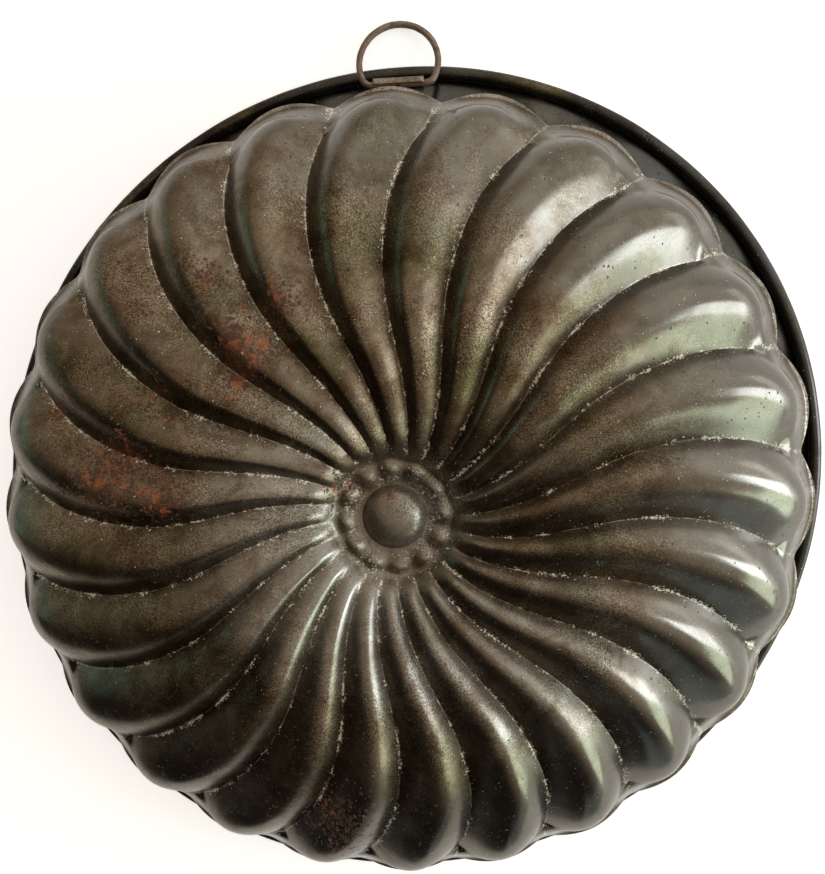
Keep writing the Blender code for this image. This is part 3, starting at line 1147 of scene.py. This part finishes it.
class Graph:
    """A node tree with short ways to add nodes and to join them."""

    def __init__(self, tree: bpy.types.NodeTree) -> None:
        """Takes the tree to build in."""
        self.tree = tree

    def feed(self, node: bpy.types.Node, values: dict[str | int, object]) -> None:
        """Links or sets a node's inputs.

        Args:
            node: The node.
            values: Its inputs by name or number; an output socket is linked, and any other
                value is set, a colour with full cover.
        """
        for name, value in values.items():
            socket = node.inputs[name]
            if isinstance(value, bpy.types.NodeSocket):
                self.tree.links.new(value, socket)
            elif isinstance(value, tuple) and socket.type == "RGBA":
                socket.default_value = (*value, 1.0)
            else:
                socket.default_value = value

    def add(self, kind: str, values: dict[str | int, object] | None = None,
            **settings: object) -> bpy.types.Node:
        """Adds a node.

        Args:
            kind: The node's type name.
            values: Its inputs by name or number.
            settings: Attributes of the node.

        Returns:
            The node.
        """
        node = self.tree.nodes.new(kind)
        for name, value in settings.items():
            setattr(node, name, value)
        self.feed(node, values or {})
        return node

    def math(self, operation: str, first: object, second: object,
             clamp: bool = False) -> bpy.types.NodeSocket:
        """A Math node's result."""
        return self.add("ShaderNodeMath", {0: first, 1: second}, operation=operation,
                        use_clamp=clamp).outputs[0]

    def plus(self, first: object, second: object, clamp: bool = False) -> bpy.types.NodeSocket:
        """The sum of two values."""
        return self.math("ADD", first, second, clamp)

    def minus(self, first: object, second: object, clamp: bool = False) -> bpy.types.NodeSocket:
        """The first value less the second."""
        return self.math("SUBTRACT", first, second, clamp)

    def times(self, first: object, second: object, clamp: bool = False) -> bpy.types.NodeSocket:
        """The product of two values."""
        return self.math("MULTIPLY", first, second, clamp)

    def most(self, first: object, second: object) -> bpy.types.NodeSocket:
        """The larger of two values."""
        return self.math("MAXIMUM", first, second)

    def ramp(self, value: object, edge: Span) -> bpy.types.NodeSocket:
        """Eases a value over an edge.

        Args:
            value: The value.
            edge: Where the rise begins and ends.

        Returns:
            0 below the edge and 1 above it.
        """
        low, high = edge
        node = self.add("ShaderNodeMapRange", {"Value": value, "From Min": low, "From Max": high},
                        interpolation_type="SMOOTHSTEP")
        return node.outputs["Result"]

    def texture(self, place: object, pattern: Pattern) -> bpy.types.Node:
        """A Noise texture's node."""
        return self.add("ShaderNodeTexNoise", {
            "Vector": place, "Scale": pattern.scale, "Detail": pattern.detail,
            "Roughness": pattern.roughness, "Distortion": pattern.distortion})

    def noise(self, place: object, pattern: Pattern) -> bpy.types.NodeSocket:
        """A Noise texture's value."""
        return self.texture(place, pattern).outputs["Fac"]

    def mix(self, share: object, first: object, second: object,
            blend: str = "MIX") -> bpy.types.NodeSocket:
        """Two colours mixed by a share."""
        return self.add("ShaderNodeMix", {0: share, 6: first, 7: second}, data_type="RGBA",
                        blend_type=blend).outputs[2]

    def shade(self, share: object, colour: object, tone: object) -> bpy.types.NodeSocket:
        """A colour toned by a share."""
        return self.mix(share, colour, self.mix(1.0, colour, tone, "MULTIPLY"))

    def bump(self, height: object, strength: float, distance: float) -> bpy.types.NodeSocket:
        """A normal bumped by a height."""
        return self.add("ShaderNodeBump", {"Height": height, "Strength": strength,
                                           "Distance": distance}).outputs["Normal"]

    def attribute(self, name: str) -> bpy.types.NodeSocket:
        """A surface attribute's value."""
        return self.add("ShaderNodeAttribute", attribute_name=name).outputs["Fac"]


def new_material(name: str) -> tuple[bpy.types.Material, Graph, bpy.types.Node]:
    """Makes a material with a node tree.

    Args:
        name: The material's name.

    Returns:
        The material, its tree and its surface shader.
    """
    material = bpy.data.materials.new(name)
    material.use_nodes = True
    return material, Graph(material.node_tree), material.node_tree.nodes["Principled BSDF"]


@dataclass(frozen=True)
class Socket:
    """A named socket of a shader node group."""

    name: str
    kind: str = "NodeSocketFloat"
    value: float | None = None


class Effect:
    """An effect that several finishes share, as a shader node group."""

    def __init__(self, name: str, inputs: list[Socket], outputs: list[Socket],
                 draw: Callable[[Graph, bpy.types.Node, bpy.types.Node], None]) -> None:
        """Builds the group once.

        Args:
            name: The group's name.
            inputs: Its input sockets, after the place on the surface.
            outputs: Its output sockets.
            draw: Adds the group's nodes between its input and output nodes.
        """
        self.tree = bpy.data.node_groups.new(name, "ShaderNodeTree")
        place = Socket("Place", "NodeSocketVector")
        for sockets, side in (([place, *inputs], "INPUT"), (outputs, "OUTPUT")):
            for socket in sockets:
                made = self.tree.interface.new_socket(socket.name, in_out=side,
                                                      socket_type=socket.kind)
                if socket.value is not None:
                    made.default_value = socket.value
        graph = Graph(self.tree)
        draw(graph, graph.add("NodeGroupInput"), graph.add("NodeGroupOutput"))

    def place(self, graph: Graph, values: dict[str | int, object]) -> bpy.types.Node:
        """Places the group in a material with its own values.

        Args:
            graph: The material's tree.
            values: The group's inputs by name.

        Returns:
            The group's node.
        """
        return graph.add("ShaderNodeGroup", values, node_tree=self.tree)


@dataclass(frozen=True)
class Mottle:
    """Patches of stain, cloudy at first and broken up by fine grain."""

    clouds: Pattern = Pattern(32.0, 5.0, 0.6, 0.6)
    cloud_share: float = 0.55
    blotches: Pattern = Pattern(150.0, 4.0, 0.65)
    blotch_share: float = 0.30
    grain: Pattern = Pattern(2300.0, 3.0, 0.75)
    grain_share: float = 0.15
    edge: Span = (0.35, 0.65)

    def draw(self, graph: Graph, given: bpy.types.Node, made: bpy.types.Node) -> None:
        """Adds the nodes of the stain and the grain.

        Args:
            graph: The group's tree.
            given: Its input node.
            made: Its output node.
        """
        place = given.outputs["Place"]
        grain = graph.noise(place, self.grain)
        mixed = graph.plus(graph.times(graph.noise(place, self.clouds), self.cloud_share),
                           graph.times(graph.noise(place, self.blotches), self.blotch_share))
        mixed = graph.plus(mixed, graph.times(grain, self.grain_share))
        shifted = graph.plus(mixed, given.outputs["Amount"])
        graph.feed(made, {"Stain": graph.ramp(shifted, self.edge), "Grain": grain})


@dataclass(frozen=True)
class Spots:
    """Small ragged spots, scattered at random; Amount is the share of places with one."""

    ragged: Pattern = Pattern(2400.0, 2.0, 0.5)
    push: Colour = (0.0009, 0.0009, 0.0009)
    smallest: float = 0.35
    core: float = 0.55

    def draw(self, graph: Graph, given: bpy.types.Node, made: bpy.types.Node) -> None:
        """Adds the nodes of the spots.

        Args:
            graph: The group's tree.
            given: Its input node.
            made: Its output node.
        """
        place = given.outputs["Place"]
        ragged = graph.texture(place, self.ragged).outputs["Color"]
        pushed = graph.add("ShaderNodeVectorMath", {0: ragged, 1: self.push, 2: place},
                           operation="MULTIPLY_ADD")
        cells = graph.add("ShaderNodeTexVoronoi", {"Vector": pushed.outputs[0],
                                                   "Scale": given.outputs["Scale"]})
        parts = graph.add("ShaderNodeSeparateColor", {"Color": cells.outputs["Color"]})
        chosen = graph.math("LESS_THAN", parts.outputs[0], given.outputs["Amount"])
        spread = graph.plus(self.smallest, graph.times(parts.outputs[1], 1 - self.smallest))
        reach = graph.times(given.outputs["Size"], spread)
        near = graph.add("ShaderNodeMapRange", {
            "Value": cells.outputs["Distance"], "From Min": graph.times(reach, self.core),
            "From Max": reach, "To Min": 1.0, "To Max": 0.0})
        graph.feed(made, {"Spots": graph.times(near.outputs["Result"], chosen)})


@dataclass(frozen=True)
class ChipsAndCreaseHighlight:
    """Ragged chips of bright tin crowded in broken runs along the creases, with a painted highlight
    line.
    """

    ragged: Pattern = Pattern(1700.0, 3.0, 0.6, 0.2)
    clumps: Pattern = Pattern(170.0, 4.0, 0.75)
    clump_edge: Span = (0.42, 0.62)
    crease_rise: float = 0.26
    chip_edge: Span = (0.688, 0.725)
    breaks: Pattern = Pattern(260.0, 3.0, 0.7)
    break_edge: Span = (0.40, 0.62)
    highlight_line_edge: Span = (0.78, 1.0)
    highlight_line_share: float = 0.42

    def draw(self, graph: Graph, given: bpy.types.Node, made: bpy.types.Node) -> None:
        """Adds the nodes of the chips and of the painted highlight line in each crease.

        Args:
            graph: The group's tree.
            given: Its input node.
            made: Its output node.
        """
        place = given.outputs["Place"]
        crease = given.outputs["Crease"]
        run = graph.times(crease, graph.ramp(graph.noise(place, self.clumps), self.clump_edge))
        raised = graph.plus(graph.noise(place, self.ragged), graph.times(run, self.crease_rise))
        chips = graph.ramp(graph.plus(raised, given.outputs["Amount"]), self.chip_edge)
        # Painted highlight: a thin broken line of tin colour along the middle of each crease.
        broken = graph.ramp(graph.noise(place, self.breaks), self.break_edge)
        line = graph.times(graph.ramp(crease, self.highlight_line_edge), broken)
        graph.feed(made, {"ChipsAndCreaseHighlight": graph.most(chips, graph.times(line, self.highlight_line_share))})


@dataclass(frozen=True)
class Rust:
    """Rust over a patch: a thin broken veil, and the colours of the veil and of its dots."""

    broken: Pattern = Pattern(520.0, 6.0, 0.80, 0.3)
    patch_rise: float = 0.40
    edge: Span = (0.62, 0.96)
    tones: Pattern = Pattern(300.0, 3.0, 0.6)
    tone_edge: Span = (0.35, 0.65)
    veil_dark: Colour = (0.070, 0.020, 0.008)
    veil_light: Colour = (0.235, 0.080, 0.028)
    dot_tones: Pattern = Pattern(330.0, 3.0, 0.6)
    dot_edge: Span = (0.50, 0.60)
    dot_dark: Colour = (0.048, 0.012, 0.004)
    dot_light: Colour = (0.30, 0.078, 0.022)

    def draw(self, graph: Graph, given: bpy.types.Node, made: bpy.types.Node) -> None:
        """Adds the nodes of the veil and of the two colours.

        Args:
            graph: The group's tree.
            given: Its input node.
            made: Its output node.
        """
        place = given.outputs["Place"]
        shifted = graph.plus(graph.noise(place, self.broken),
                             graph.times(given.outputs["Patch"], self.patch_rise))
        tone = graph.ramp(graph.noise(place, self.tones), self.tone_edge)
        bright = graph.ramp(graph.noise(place, self.dot_tones), self.dot_edge)
        graph.feed(made, {"Rust": graph.ramp(shifted, self.edge),
                          "Color": graph.mix(tone, self.veil_dark, self.veil_light),
                          "Dots": graph.mix(bright, self.dot_dark, self.dot_light)})


@dataclass(frozen=True)
class Scratches:
    """Sparse fine scratches that run every way."""

    bent: Pattern = Pattern(40.0, 1.0, 0.5)
    scale: float = 60.0
    width: Span = (0.004, 0.012)
    areas: Pattern = Pattern(75.0, 2.0, 0.5)
    area_edge: Span = (0.56, 0.62)

    def draw(self, graph: Graph, given: bpy.types.Node, made: bpy.types.Node) -> None:
        """Adds the nodes of the scratches: the edges of cells, thrown about by a noise.

        Args:
            graph: The group's tree.
            given: Its input node.
            made: Its output node.
        """
        place = given.outputs["Place"]
        bent = graph.texture(place, self.bent).outputs["Color"]
        thrown = graph.add("ShaderNodeVectorMath", {0: bent, 1: bent, 2: place},
                           operation="MULTIPLY_ADD")
        cells = graph.add("ShaderNodeTexVoronoi", {"Vector": thrown.outputs[0],
                                                   "Scale": self.scale},
                          feature="DISTANCE_TO_EDGE")
        line = graph.minus(1.0, graph.ramp(cells.outputs["Distance"], self.width))
        areas = graph.ramp(graph.noise(place, self.areas), self.area_edge)
        graph.feed(made, {"Scratch": graph.times(line, areas)})


class Effects:
    """The effects that the finishes share."""

    def __init__(self) -> None:
        """Builds each effect's group."""
        self.mottle = Effect("mottle", [Socket("Amount", value=0.0)],
                             [Socket("Stain"), Socket("Grain")], Mottle().draw)
        self.spots = Effect("spots", [Socket("Scale", value=900.0), Socket("Amount", value=0.1),
                                      Socket("Size", value=0.4)], [Socket("Spots")], Spots().draw)
        self.chips = Effect("chips", [Socket("Crease", value=0.0), Socket("Amount", value=0.0)],
                            [Socket("ChipsAndCreaseHighlight")], ChipsAndCreaseHighlight().draw)
        self.rust = Effect("rust", [Socket("Patch", value=0.0)],
                           [Socket("Rust"), Socket("Color", "NodeSocketColor"),
                            Socket("Dots", "NodeSocketColor")], Rust().draw)
        self.scratches = Effect("scratches", [], [Socket("Scratch")], Scratches().draw)


@dataclass(frozen=True)
class AgedTin:
    """Tinned sheet with a brown bloom, grains of tin left on it, pits, rust and painted highlights.
    """

    name: str
    clean: Colour
    stained: Colour
    clean_roughness: float = 0.20
    stained_roughness: float = 0.34
    covered_roughness: float = 0.30
    chip_roughness: float = 0.15
    metallic: float = 0.98
    bloom_matt: float = 0.04
    cover_matt: float = 0.75
    stain_amount: float = 0.12
    worn_clean: float = 0.40
    olive: Colour = (0.100, 0.082, 0.045)
    olive_patches: Pattern = Pattern(38.0, 3.0)
    olive_edge: Span = (0.48, 0.62)
    # Pale grey of the painted highlights that the 'bright' attribute lays on; at the hem's edge it is
    # partly rubbed tin.
    rubbed: Colour = (0.34, 0.33, 0.31)
    painted_highlight_share: float = 0.42
    clouds: Pattern = Pattern(95.0, 6.0, 0.68, 0.5)
    cloud_edge: Span = (0.34, 0.64)
    cloud_dark: Colour = (0.58, 0.50, 0.42)
    cloud_light: Colour = (1.24, 1.28, 1.30)
    cloud_least: float = 0.30
    matt_colour: Colour = (0.20, 0.185, 0.155)
    matt_share: float = 0.22
    matt_smooth: float = 0.8
    grain_dark: Colour = (0.42, 0.37, 0.32)
    grain_light: Colour = (1.46, 1.52, 1.60)
    grain_edge: Span = (0.41, 0.59)
    smooth_loss: float = 0.85
    thin_areas: Pattern = Pattern(70.0, 4.0, 0.6)
    thin_edge: Span = (0.36, 0.60)
    thin_least: float = 0.35
    thin_rise: float = 0.75
    veil_share: float = 0.68
    pit_share: float = 0.11
    pit_scale: float = 880.0
    pit_size: float = 0.40
    pit_cover: float = 0.75
    pit_colour: Colour = (0.035, 0.024, 0.018)
    fleck_crowd: float = 1.6
    fleck_scale: float = 1100.0
    fleck_size: float = 1.05
    fleck_cover: float = 0.85
    tin: Colour = (0.78, 0.74, 0.64)
    tin_share: float = 0.0
    chip_cover: float = 0.9
    scratch_cover: float = 0.22
    bump: float = 0.00004
    bump_strength: float = 0.5
    chip_height: float = 0.5
    fleck_height: float = 0.6
    pit_depth: float = 0.6

    def masks(self, graph: Graph, effects: Effects) -> dict[str, bpy.types.NodeSocket]:
        """Lays out the sheet's stain, grain, matt, rust, pits, chips and painted crease highlight.

        Args:
            graph: The material's tree.
            effects: The shared node groups.

        Returns:
            The masks by name, with the place and the rust's two colours.
        """
        place = graph.add("ShaderNodeTexCoord").outputs["Object"]
        patch = graph.attribute("rust")
        cleaned = graph.times(graph.attribute("worn"), self.worn_clean)
        mottle = effects.mottle.place(graph, {
            "Place": place, "Amount": graph.minus(self.stain_amount, cleaned)})
        rust = effects.rust.place(graph, {"Place": place, "Patch": patch})
        pits = effects.spots.place(graph, {
            "Place": place, "Scale": self.pit_scale, "Size": self.pit_size,
            "Amount": self.pit_share})
        flecks = effects.spots.place(graph, {
            "Place": place, "Scale": self.fleck_scale, "Size": self.fleck_size,
            "Amount": graph.times(patch, self.fleck_crowd)})
        # The chips mask holds the tin chips and also the painted highlight line along each crease.
        chips = effects.chips.place(graph, {
            "Place": place, "Crease": graph.attribute("crease"), "Amount": self.tin_share})
        scratches = effects.scratches.place(graph, {"Place": place})
        masks = {"place": place, "stain": mottle.outputs["Stain"],
                 "grain": mottle.outputs["Grain"], "rust": rust.outputs["Color"],
                 "dots": rust.outputs["Dots"], "pits": pits.outputs["Spots"],
                 "flecks": flecks.outputs["Spots"], "chips": chips.outputs["ChipsAndCreaseHighlight"],
                 "scratch": scratches.outputs["Scratch"],
                 "veil": graph.times(rust.outputs["Rust"], self.veil_share),
                 "matt": graph.times(graph.attribute("matt"), self.matt_share)}
        masks["covered"] = graph.most(masks["veil"], graph.most(masks["flecks"], masks["pits"]))
        masks["depth"] = self.grain_depth(graph, masks)
        return masks

    def grain_depth(self, graph: Graph,
                    masks: dict[str, bpy.types.NodeSocket]) -> bpy.types.NodeSocket:
        """How strong the grain is: faint on clean and matt sheet, and thin in places.

        Args:
            graph: The material's tree.
            masks: The masks laid out so far.

        Returns:
            The strength.
        """
        depth = graph.plus(1.0 - self.smooth_loss, graph.times(masks["stain"], self.smooth_loss))
        depth = graph.minus(depth, graph.times(masks["matt"], self.matt_smooth), clamp=True)
        areas = graph.ramp(graph.noise(masks["place"], self.thin_areas), self.thin_edge)
        thinned = graph.plus(self.thin_least, graph.times(areas, self.thin_rise))
        return graph.times(depth, thinned, clamp=True)

    def colour(self, graph: Graph,
               masks: dict[str, bpy.types.NodeSocket]) -> bpy.types.NodeSocket:
        """Lays the bloom, the painted highlights, the grain, the rust, the pits, the chips and the
        scratches.

        Args:
            graph: The material's tree.
            masks: Where they are.

        Returns:
            The sheet's colour.
        """
        place, stain = masks["place"], masks["stain"]
        olive = graph.ramp(graph.noise(place, self.olive_patches), self.olive_edge)
        colour = graph.mix(stain, self.clean, graph.mix(olive, self.stained, self.olive))
        # Painted highlight: the 'bright' attribute lightens the sheet toward a pale grey where the
        # light falls brightly.
        rubbed = graph.times(graph.attribute("bright"), self.painted_highlight_share)
        colour = graph.mix(rubbed, colour, self.rubbed)
        clouds = graph.ramp(graph.noise(place, self.clouds), self.cloud_edge)
        share = graph.plus(self.cloud_least, graph.times(stain, 1 - self.cloud_least))
        colour = graph.shade(share, colour, graph.mix(clouds, self.cloud_dark, self.cloud_light))
        colour = graph.mix(masks["matt"], colour, self.matt_colour)
        grain = graph.ramp(masks["grain"], self.grain_edge)
        colour = graph.shade(masks["depth"], colour,
                             graph.mix(grain, self.grain_dark, self.grain_light))
        colour = graph.mix(masks["veil"], colour, masks["rust"])
        for name, cover, over in (("pits", self.pit_cover, self.pit_colour),
                                  ("flecks", self.fleck_cover, masks["dots"]),
                                  ("chips", self.chip_cover, self.tin),
                                  ("scratch", self.scratch_cover, self.tin)):
            colour = graph.mix(graph.times(masks[name], cover), colour, over)
        return colour

    def roughness(self, graph: Graph,
                  masks: dict[str, bpy.types.NodeSocket]) -> bpy.types.NodeSocket:
        """Roughens the bloom, the rust, the pits and the chips.

        Args:
            graph: The material's tree.
            masks: Where they are.

        Returns:
            The sheet's roughness.
        """
        spread = self.stained_roughness - self.clean_roughness
        rough = graph.plus(self.clean_roughness, graph.times(masks["stain"], spread))
        rough = graph.plus(rough, graph.times(masks["covered"], self.covered_roughness),
                           clamp=True)
        return graph.plus(rough, graph.times(masks["chips"], self.chip_roughness), clamp=True)

    def metal(self, graph: Graph,
              masks: dict[str, bpy.types.NodeSocket]) -> bpy.types.NodeSocket:
        """Takes the metal's sheen from the bloom, the rust, the pits and the chips.

        Args:
            graph: The material's tree.
            masks: Where they are.

        Returns:
            How metallic the sheet is.
        """
        sheen = graph.minus(self.metallic, graph.times(masks["stain"], self.bloom_matt))
        sheen = graph.minus(sheen, masks["matt"])
        dull = graph.most(masks["covered"], masks["chips"])
        return graph.times(graph.minus(1.0, graph.times(dull, self.cover_matt)), sheen)

    def relief(self, graph: Graph,
               masks: dict[str, bpy.types.NodeSocket]) -> bpy.types.NodeSocket:
        """Raises the grain, the chips and the rust, and sinks the pits.

        Args:
            graph: The material's tree.
            masks: Where they are.

        Returns:
            The bumped normal.
        """
        height = graph.times(masks["grain"], masks["depth"])
        for name, rise in (("chips", self.chip_height), ("flecks", self.fleck_height),
                           ("pits", -self.pit_depth)):
            height = graph.plus(height, graph.times(masks[name], rise))
        return graph.bump(height, self.bump_strength, self.bump)

    def build(self, effects: Effects) -> bpy.types.Material:
        """Makes the material.

        Args:
            effects: The shared node groups.

        Returns:
            The material.
        """
        material, graph, shader = new_material(self.name)
        masks = self.masks(graph, effects)
        graph.feed(shader, {"Base Color": self.colour(graph, masks),
                            "Roughness": self.roughness(graph, masks),
                            "Metallic": self.metal(graph, masks),
                            "Normal": self.relief(graph, masks)})
        return material


@dataclass(frozen=True)
class RustyIron:
    """Iron wire under a skin of brown rust."""

    name: str
    bare: Colour = (0.32, 0.29, 0.25)
    rusty: Colour = (0.17, 0.105, 0.072)
    rust_amount: float = 0.05
    patches: Pattern = Pattern(320.0, 4.0, 0.6)
    patch_edge: Span = (0.42, 0.62)
    dust_edge: Span = (0.30, 0.72)
    dust_dark: Colour = (0.7, 0.7, 0.7)
    dust_light: Colour = (1.3, 1.3, 1.3)
    bare_roughness: float = 0.38
    rust_roughness: float = 0.30
    metallic: float = 0.95
    rust_matt: float = 0.45
    bump: float = 0.00006
    bump_strength: float = 0.6

    def build(self, effects: Effects) -> bpy.types.Material:
        """Makes the material.

        Args:
            effects: The shared node groups.

        Returns:
            The material.
        """
        material, graph, shader = new_material(self.name)
        place = graph.add("ShaderNodeTexCoord").outputs["Object"]
        mottle = effects.mottle.place(graph, {"Place": place, "Amount": self.rust_amount})
        grain = mottle.outputs["Grain"]
        patches = graph.ramp(graph.noise(place, self.patches), self.patch_edge)
        rust = graph.most(mottle.outputs["Stain"], patches)
        dust = graph.mix(graph.ramp(grain, self.dust_edge), self.dust_dark, self.dust_light)
        graph.feed(shader, {
            "Base Color": graph.mix(1.0, graph.mix(rust, self.bare, self.rusty), dust,
                                    "MULTIPLY"),
            "Roughness": graph.plus(self.bare_roughness, graph.times(rust, self.rust_roughness)),
            "Metallic": graph.minus(self.metallic, graph.times(rust, self.rust_matt)),
            "Normal": graph.bump(grain, self.bump_strength, self.bump)})
        return material


@dataclass(frozen=True)
class Area:
    """A soft lamp: where it stands about the mould, its size, its colour and its strength."""

    name: str
    azimuth_degrees: float
    elevation_degrees: float
    distance: float
    width: float
    height: float
    watts: float
    colour: Colour = (1.0, 1.0, 1.0)

    def build(self, aim: Vector) -> None:
        """Hangs the lamp so that it faces the mould.

        Args:
            aim: The point that it faces.
        """
        lamp = bpy.data.lights.new(self.name, "AREA")
        lamp.shape = "RECTANGLE"
        lamp.size = self.width
        lamp.size_y = self.height
        lamp.energy = self.watts
        lamp.color = self.colour
        holder = bpy.data.objects.new(self.name, lamp)
        bpy.context.scene.collection.objects.link(holder)
        level = math.radians(self.elevation_degrees)
        away = polar(math.cos(level), math.radians(self.azimuth_degrees), math.sin(level))
        holder.location = aim + away * self.distance
        holder.rotation_euler = away.to_track_quat("Z", "Y").to_euler()


@dataclass
class Studio:
    """The floor, the light and the camera."""

    place: Place
    floor_size: float = 6.0
    floor_colour: Colour = (0.80, 0.80, 0.80)
    floor_roughness: float = 0.9
    white: Colour = (1.0, 1.0, 1.0)
    camera_glow: float = 0.60
    mirror_glow: float = 0.33
    camera_place: Vector = field(default_factory=lambda: Vector((0.02121, 0.03806, 0.26769)))
    camera_turn: tuple[float, float, float] = (
        math.radians(-10.266), math.radians(5.072), math.radians(-1.554))
    lens: float = 37.07
    shift: tuple[float, float] = (0.0229, 0.1072)
    light_way: Colour = (0.641, 0.641, 0.423)
    dim_edge: Span = (-0.32, 0.42)
    bright_edge: Span = (0.42, 1.15)
    room_dark: Colour = (0.022, 0.017, 0.013)
    room_warm: Colour = (0.66, 0.54, 0.41)
    room_bright: Colour = (1.38, 1.33, 1.22)
    lamps: tuple[Area, ...] = (
        Area("window", 0, 22, 0.85, 0.29, 0.44, 2.4, (0.82, 0.92, 1.0)),
        Area("window_green", -26, 18, 0.85, 0.48, 0.34, 1.5, (0.80, 1.0, 0.82)),
        Area("window_sill", 12, 5, 0.85, 0.80, 0.24, 0.75, (0.92, 0.98, 0.96)),
        Area("left_wall", 158, 12, 1.00, 0.70, 0.28, 0.34, (0.60, 1.0, 0.84)),
        Area("far_wall", 300, 9, 1.00, 1.10, 0.35, 0.45, (0.86, 1.0, 1.0)),
    )

    def build_floor(self) -> None:
        """Lays the pale floor, which camera and mirror rays see as white outside the shadow."""
        bm = bmesh.new()
        bmesh.ops.create_grid(bm, x_segments=1, y_segments=1, size=self.floor_size / 2)
        material, graph, shader = new_material("pale_floor")
        graph.feed(shader, {"Base Color": self.floor_colour, "Roughness": self.floor_roughness})
        rays = graph.add("ShaderNodeLightPath")
        seen = graph.times(rays.outputs["Is Camera Ray"], self.camera_glow)
        mirrored = graph.times(rays.outputs["Is Glossy Ray"], self.mirror_glow)
        glow = graph.add("ShaderNodeEmission", {"Color": self.white,
                                                "Strength": graph.plus(seen, mirrored)})
        both = graph.add("ShaderNodeAddShader", {0: shader.outputs[0], 1: glow.outputs[0]})
        graph.feed(material.node_tree.nodes["Material Output"], {"Surface": both.outputs[0]})
        floor = finished("floor", bm, [material])

    def build_world(self) -> None:
        """Builds a dim room, brighter on the window's side, that the camera sees as white."""
        world = bpy.data.worlds.new("room")
        bpy.context.scene.world = world
        world.use_nodes = True
        graph = Graph(world.node_tree)
        world.node_tree.nodes.clear()
        way = graph.add("ShaderNodeTexCoord").outputs["Generated"]
        towards = graph.add("ShaderNodeVectorMath", {0: way, 1: self.light_way},
                            operation="DOT_PRODUCT").outputs["Value"]
        warm = graph.mix(graph.ramp(towards, self.dim_edge), self.room_dark, self.room_warm)
        colour = graph.mix(graph.ramp(towards, self.bright_edge), warm, self.room_bright)
        room = graph.add("ShaderNodeBackground", {"Color": colour})
        white = graph.add("ShaderNodeBackground", {"Color": self.white})
        rays = graph.add("ShaderNodeLightPath")
        seen = graph.add("ShaderNodeMixShader", {0: rays.outputs["Is Camera Ray"],
                                                 1: room.outputs[0], 2: white.outputs[0]})
        output = graph.add("ShaderNodeOutputWorld", {"Surface": seen.outputs[0]})
        output.is_active_output = True

    def build_camera(self) -> None:
        """Sets the camera up where the photograph was taken from."""
        data = bpy.data.cameras.new("camera")
        data.lens = self.lens
        data.shift_x, data.shift_y = self.shift
        camera = bpy.data.objects.new("camera", data)
        camera.location = self.camera_place + self.place.axis
        camera.rotation_euler = self.camera_turn
        bpy.context.scene.collection.objects.link(camera)
        bpy.context.scene.camera = camera

    def build(self) -> None:
        """Builds the camera, the floor, the room and the lamps."""
        self.build_camera()
        self.build_floor()
        self.build_world()
        for lamp in self.lamps:
            lamp.build(self.place.axis)


def dress_node(node: bpy.types.Object, finish: bpy.types.Material) -> None:
    """Gives a node of the frame a finish in place of its plain one.

    Args:
        node: The node.
        finish: Its finish.
    """
    if node.material_slots:
        for slot in node.material_slots:
            slot.material = finish
    else:
        node.data.materials.append(finish)


def main() -> None:
    """Builds the mould's pieces, their finishes and the studio."""
    logging.basicConfig(level=logging.INFO, format="%(name)s: %(message)s")
    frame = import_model()
    form = MouldForm()
    place = Place.from_frame(frame["joints"], form)
    bpy.context.scene.view_settings.view_transform = "Standard"
    Studio(place).build()
    effects = Effects()
    crown_tin = AgedTin("crown_outside", (0.158, 0.146, 0.126),
                        (0.148, 0.111, 0.074)).build(effects)
    inside_tin = AgedTin("tin_inside", (0.34, 0.33, 0.31), (0.17, 0.145, 0.11),
                         clean_roughness=0.30, stained_roughness=0.46, stain_amount=-0.06,
                         tin_share=-0.02, grain_dark=(0.8, 0.8, 0.78),
                         grain_light=(1.15, 1.15, 1.15)).build(effects)
    collar_tin = AgedTin("collar_outside", (0.085, 0.085, 0.080), (0.040, 0.035, 0.030),
                         stain_amount=0.04, tin_share=-0.01).build(effects)
    bead_tin = AgedTin("bead_outside", (0.070, 0.070, 0.068), (0.034, 0.030, 0.027),
                       clean_roughness=0.24, tin_share=-0.01).build(effects)
    lug_tin = AgedTin("lug_outside", (0.36, 0.33, 0.29), (0.24, 0.20, 0.155),
                      clean_roughness=0.32).build(effects)
    solder = AgedTin("soft_solder", (0.34, 0.34, 0.33), (0.18, 0.175, 0.16),
                     clean_roughness=0.34, stain_amount=-0.04, pit_share=0.02).build(effects)
    iron = RustyIron("ring_iron_wire").build(effects)
    pieces = [
        Crown(form, place).build(crown_tin, inside_tin),
        Collar(form, place).build(collar_tin, inside_tin, bead_tin),
        RingLug(form, place).build(lug_tin),
        HangingRing(form, place).build(iron),
    ]
    for name, finish in (("rim_wire", iron), ("seam_solder", solder),
                         ("side_seam_solder", solder), ("lug_solder", solder)):
        dress_node(frame["nodes"][name], finish)
    for piece in pieces:
        LOG.info("%s: %d vertices", piece.name, len(piece.data.vertices))


if __name__ == "__main__":
    main()
